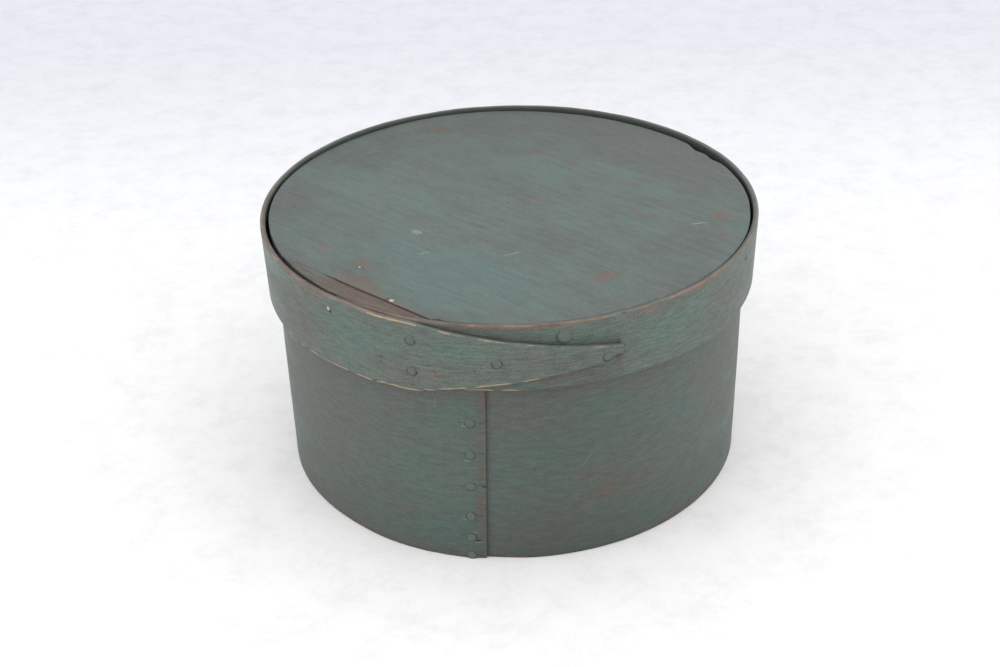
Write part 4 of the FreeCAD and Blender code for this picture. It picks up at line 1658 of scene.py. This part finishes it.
@dataclass(frozen=True)
class Studio:
    """A pale paper floor and soft light.

    Attributes:
        floor_size: Half the width of the floor in metres.
        sky: Strength of the even light from all round.
        lamps: The lamps.
        paper_near: Colour of the paper in front.
        paper_far_shaded: Colour of the paper behind, darker and bluer as painted shade.
        bounce: Colour that the paper throws back on the box.
        shine: Colour of its reflection in the paint.
    """

    floor_size: float = 4.0
    sky: float = 1.06
    lamps: tuple[Lamp, ...] = (Lamp("left_lamp", (-1.2, -0.6, 0.85), 1.4, 4.9),
                               Lamp("right_lamp", (1.2, -0.5, 0.8), 1.4, 4.4))
    paper_near: Colour = srgb(252, 251, 250)
    paper_far_shaded: Colour = srgb(223, 224, 230)
    bounce: Colour = srgb(180, 181, 182)
    shine: Colour = srgb(216, 216, 217)

    def build(self) -> None:
        """Make the floor, the even light and the lamps."""
        self._floor()
        world = bpy.data.worlds.new("soft_light")
        world.use_nodes = True
        background = world.node_tree.nodes["Background"]
        background.inputs["Color"].default_value = srgb(253, 254, 255)
        background.inputs["Strength"].default_value = self.sky
        bpy.context.scene.world = world
        for lamp in self.lamps:
            lamp.build()
        bpy.context.scene.view_settings.view_transform = "Standard"

    def _floor(self) -> None:
        """Make the floor."""
        start_fresh()
        bpy.ops.mesh.primitive_plane_add(size=2 * self.floor_size, location=(0, 0, 0))
        floor = bpy.context.object
        floor.name = "paper_floor"
        material, bench, shader = new_material("paper")
        place = bench.node("ShaderNodeTexCoord").outputs["Object"]
        away = bench.node("ShaderNodeSeparateXYZ", None, Vector=place).outputs[1]
        # The paper turns darker towards the back: painted shade.
        paper = bench.blend(bench.ramp(away, 0.0, 0.62), self.paper_near, self.paper_far_shaded)
        mottle = bench.ramp(bench.noise(place, 40.0, 9.0, 0.82), 0.4, 0.72)
        paper = bench.lay(paper, mottle, 0.8, bench.tint(paper, srgb(240, 240, 241)))
        rays = bench.node("ShaderNodeLightPath").outputs
        unseen = bench.blend(rays["Is Glossy Ray"], self.bounce, self.shine)
        bench.feed(shader.inputs["Base Color"], bench.blend(rays["Is Camera Ray"], unseen, paper))
        shader.inputs["Roughness"].default_value = 0.9
        shader.inputs["Specular IOR Level"].default_value = 0.0
        floor.data.materials.append(material)


# The whole box


@dataclass
class DressedBox:
    """Builds every visible piece and hangs it on its body.

    Attributes:
        effects: The shared node groups.
        body: The strip of the body.
        lid: The strip of the lid.
        top: The board of the lid.
        bottom: The board of the body.
    """

    effects: Effects
    body: BodyStrip = field(default_factory=BodyStrip)
    lid: LidStrip = field(default_factory=LidStrip)
    top: LidTop = field(default_factory=LidTop)
    bottom: Board = field(
        default_factory=lambda: Board("bottom_disc", 0.0, 9.5, 112.3, 112.0, 20.0, rounding=0.4))

    def hang(self, piece: Piece, body: str, node: str,
             materials: list[bpy.types.Material]) -> None:
        """Give a piece its materials, its body and the node that it stands for.

        Args:
            piece: The piece.
            body: The body that it rides on.
            node: The CAD node that it replaces.
            materials: Its materials in order.
        """
        for material in materials:
            piece.data.materials.append(material)
        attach(piece, body)
        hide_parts(node)
        LOG.info("%s replaces %s: %d faces", piece.name, node, len(piece.data.polygons))

    def strips(self) -> None:
        """Make both bent strips."""
        inside = BareWood("aged_wood_strip", Pattern.STRIP).build(self.effects)
        # Dark spots for holes and a split: painted shade inside them.
        hole_shade = srgb(40, 42, 38)
        crack = srgb(62, 72, 66)
        flake = srgb(110, 134, 124)
        dashes = ((-13.4, 78.7, 1.2), (-8.6, 78.4, 1.7), (-13.3, 61.2, 1.5), (-8.7, 61.4, 1.8),
                  (-8.5, 43.2, 2.2), (-12.9, 42.4, 1.0), (-8.7, 25.6, 2.0), (-13.2, 13.4, 1.0),
                  (-15.4, 3.2, 4.5), (-8.9, 2.2, 1.6))
        flakes = ((-12.6, 76.6, 1.3), (-11.9, 57.2, 1.6), (-12.4, 23.2, 1.6), (-10.3, 15.6, 1.2))
        on_body, on_lid = self.body.mark, self.lid.mark
        body_marks = (
            *(on_body(angle, height, (reach, 0.35), crack, 0.75) for angle, height, reach in dashes),
            *(on_body(angle, height, (reach, 0.7), flake, 0.6) for angle, height, reach in flakes),
            on_body(-9.75, 10.9, (2.0, 0.5), hole_shade),
            on_body(-9.4, 9.6, (2.6, 0.3), srgb(150, 150, 136), 0.7),
            on_body(15.8 - FULL_TURN, 53.7, (6.0, 0.18), srgb(140, 146, 136), 0.6, 52.0),
            on_body(-19.0, 88.0, (0.35, 2.2), srgb(130, 126, 112), 0.6),
            on_body(-8.0, 42.5, (1.2, 0.8), hole_shade, 0.7))
        body_paint = OldPaint("body_paint_strip", Pattern.STRIP, sound=srgb(89, 104, 95),
                              thin=srgb(96, 100, 94), fresh=srgb(81, 106, 99), rubbed=srgb(106, 90, 80),
                              grain=(110.0, 620.0), line_strength=0.08, pore_strength=0.09,
                              marks=body_marks).build(self.effects)
        lid_marks = (
            on_lid(-42.6, 125.0, (1.2, 1.0), hole_shade),
            on_lid(65.2 - FULL_TURN, 125.6, (1.1, 0.9), hole_shade),
            on_lid(-29.0, 111.0, (3.0, 0.3), srgb(60, 66, 62), 0.8),
            on_lid(-31.0, 96.3, (1.6, 0.6), hole_shade, 0.9),
            on_lid(22.6 - FULL_TURN, 111.6, (3.0, 1.9), srgb(80, 75, 69), 0.9))
        lid_paint = OldPaint("lid_paint_strip", Pattern.STRIP, grain=(120.0, 760.0), line_strength=0.14,
                             pore_strength=0.2, marks=lid_marks).build(self.effects)
        self.hang(self.body.model(), "box", "body_band", [body_paint, inside])
        self.hang(self.lid.model(), "lid", "lid_band", [lid_paint, inside])

    def boards(self) -> None:
        """Make the lid's board and sliver, and the bottom board."""
        turn = self.top.turn
        under = BareWood("aged_wood_board", Pattern.BOARD, turn=turn).build(self.effects)
        dark = BareWood("split_wood", Pattern.BOARD, turn=turn, early=srgb(96, 82, 70), late=srgb(80, 68, 58),
                        stain=srgb(70, 60, 52)).build(self.effects)
        scratch = srgb(146, 156, 146)
        marks = (
            Mark((-11.6, -93.3), (0.45, 0.45), srgb(226, 224, 214)),
            Mark((22.3, -106.9), (1.3, 1.0), srgb(200, 176, 146)),
            Mark((20.0, -107.6), (1.2, 1.4), srgb(60, 52, 44), 0.8),
            Mark((-14.3, -99.2), (3.4, 0.8), srgb(84, 84, 80), 0.7, 8.0),
            Mark((-15.1, -50.5), (2.8, 2.0), scratch, 0.55),
            Mark((-15.1, -50.5), (1.5, 1.0), srgb(108, 112, 104), 0.8),
            Mark((2.5, -64.3), (3.0, 0.3), scratch, 0.7, 62.0),
            Mark((35.9, -39.2), (5.5, 0.3), scratch, 0.7, 66.0),
            Mark((86.1, 41.5), (4.4, 0.35), scratch, 0.8, 50.0),
            Mark((-97.8, 4.0), (5.0, 0.3), scratch, 0.6, 55.0),
            Mark((-1.5, 0.5), (0.8, 0.8), srgb(70, 72, 68)),
            Mark((-82.7, -67.7), (1.2, 0.8), srgb(70, 66, 60), 0.8),
            Mark((90.9, 19.2), (2.6, 0.5), srgb(84, 88, 84), 0.7, 40.0))
        worn_paint = OldPaint("worn_board", Pattern.BOARD, turn=turn, sound=srgb(84, 93, 87),
                              thin=srgb(83, 83, 78), fresh=srgb(82, 94, 88), rubbed=srgb(91, 76, 67),
                              smear=srgb(107, 95, 86), roughness=(0.5, 0.58), grain=(24.0, 420.0),
                              line_strength=0.16, pore_strength=0.14,
                              red_strength=0.95).build(self.effects)
        top_paint = OldPaint("lid_paint_board", Pattern.BOARD, turn=turn, sound=srgb(85, 100, 95),
                             thin=srgb(87, 93, 90), fresh=srgb(80, 106, 100), rubbed=srgb(107, 84, 72),
                             smear=srgb(98, 115, 109), cloud_strength=0.07, roughness=(0.5, 0.58),
                             grain=(26.0, 420.0), line_strength=0.06, pore_strength=0.06,
                             marks=marks).build(self.effects)
        for piece_top, setback, outer, node, slot in (
                (self.top, self.top.setback, False, "lid_board", "lid_paint"),
                (LidTop(name="lid_sliver", thickness=self.top.thickness - self.top.sliver_wear),
                 self.top.setback - self.top.crack_gap, True, "lid_board_sliver", "worn_wood")):
            board = piece_top.model()
            piece_top.split(board, setback, outer)
            piece_top.roughen(board, setback)
            if outer:
                piece_top.rejoin(board)
            smooth(board)
            self.hang(board, "lid", node, [worn_paint if outer else top_paint, under, dark])
        bottom = self.bottom.model()
        smooth(bottom)
        floor_wood = BareWood("bottom_wood", Pattern.BOARD, turn=self.bottom.turn).build(self.effects)
        self.hang(bottom, "box", "bottom_board", [floor_wood, floor_wood])

    def fasteners(self) -> None:
        """Make all tacks, nails and sprigs."""
        iron = TackIron("painted_iron").build(self.effects)
        kit = Fasteners(self.body, self.lid)
        body, lid = self.body, self.lid
        small = TackMaker()
        large = TackMaker(head=kit.rim_head, proud=0.7, seed=8)
        # The first lid sprig gets a pale head: worn bare, with a painted glint.
        bright, plain = (TackMaker(head=1.05, proud=0.12, seed=12, bright=worn) for worn in ((1.0,), ()))
        rim = kit.rim_radius()
        foot = body.low_radius + 0.08  # the wall has opened that much half way up the bottom board
        seam_grip = body.gap + body.lap_wall + body.wall
        finger_grip = lid.gap + lid.finger_wall + lid.wall
        rim_seat = ring_of_seats((kit.rim_angle,), kit.nail_height, rim - kit.rim_sunk)
        lid_seats = ring_of_seats(kit.lid_sprigs, kit.nail_height, rim)
        foot_seats = ring_of_seats(kit.bottom_sprigs, self.bottom.thickness / 2, foot)
        rows = (
            ("seam_tacks", small, kit.seam_seats(), seam_grip, body, 0.75, "box", "body_seam_tacks"),
            ("finger_tacks", small, kit.finger_seats(), finger_grip, lid, 0.95, "lid", "lid_finger_tacks"),
            ("rim_tack", large, rim_seat, 0.0, lid, 0.8, "lid", "lid_rim_tack"),
            ("lid_sprigs", bright, lid_seats, 0.0, lid, 0.95, "lid", "lid_rim_sprigs"),
            ("foot_sprigs", plain, foot_seats, 0.0, body, 0.95, "box", "bottom_sprigs"))
        for name, maker, seats, grip, strip, groove, rider, node in rows:
            tacks = kit.row(name, maker, seats, grip, strip.lean(), groove)
            self.hang(tacks, rider, node, [iron])


def main() -> None:
    """Build the scene."""
    logging.basicConfig(level=logging.INFO, format="%(name)s: %(message)s")
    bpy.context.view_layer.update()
    box = DressedBox(Effects())
    box.strips()
    box.boards()
    box.fasteners()
    Studio().build()
    PhotoCamera().build()
    start_fresh()


if __name__ == "__main__":
    main()
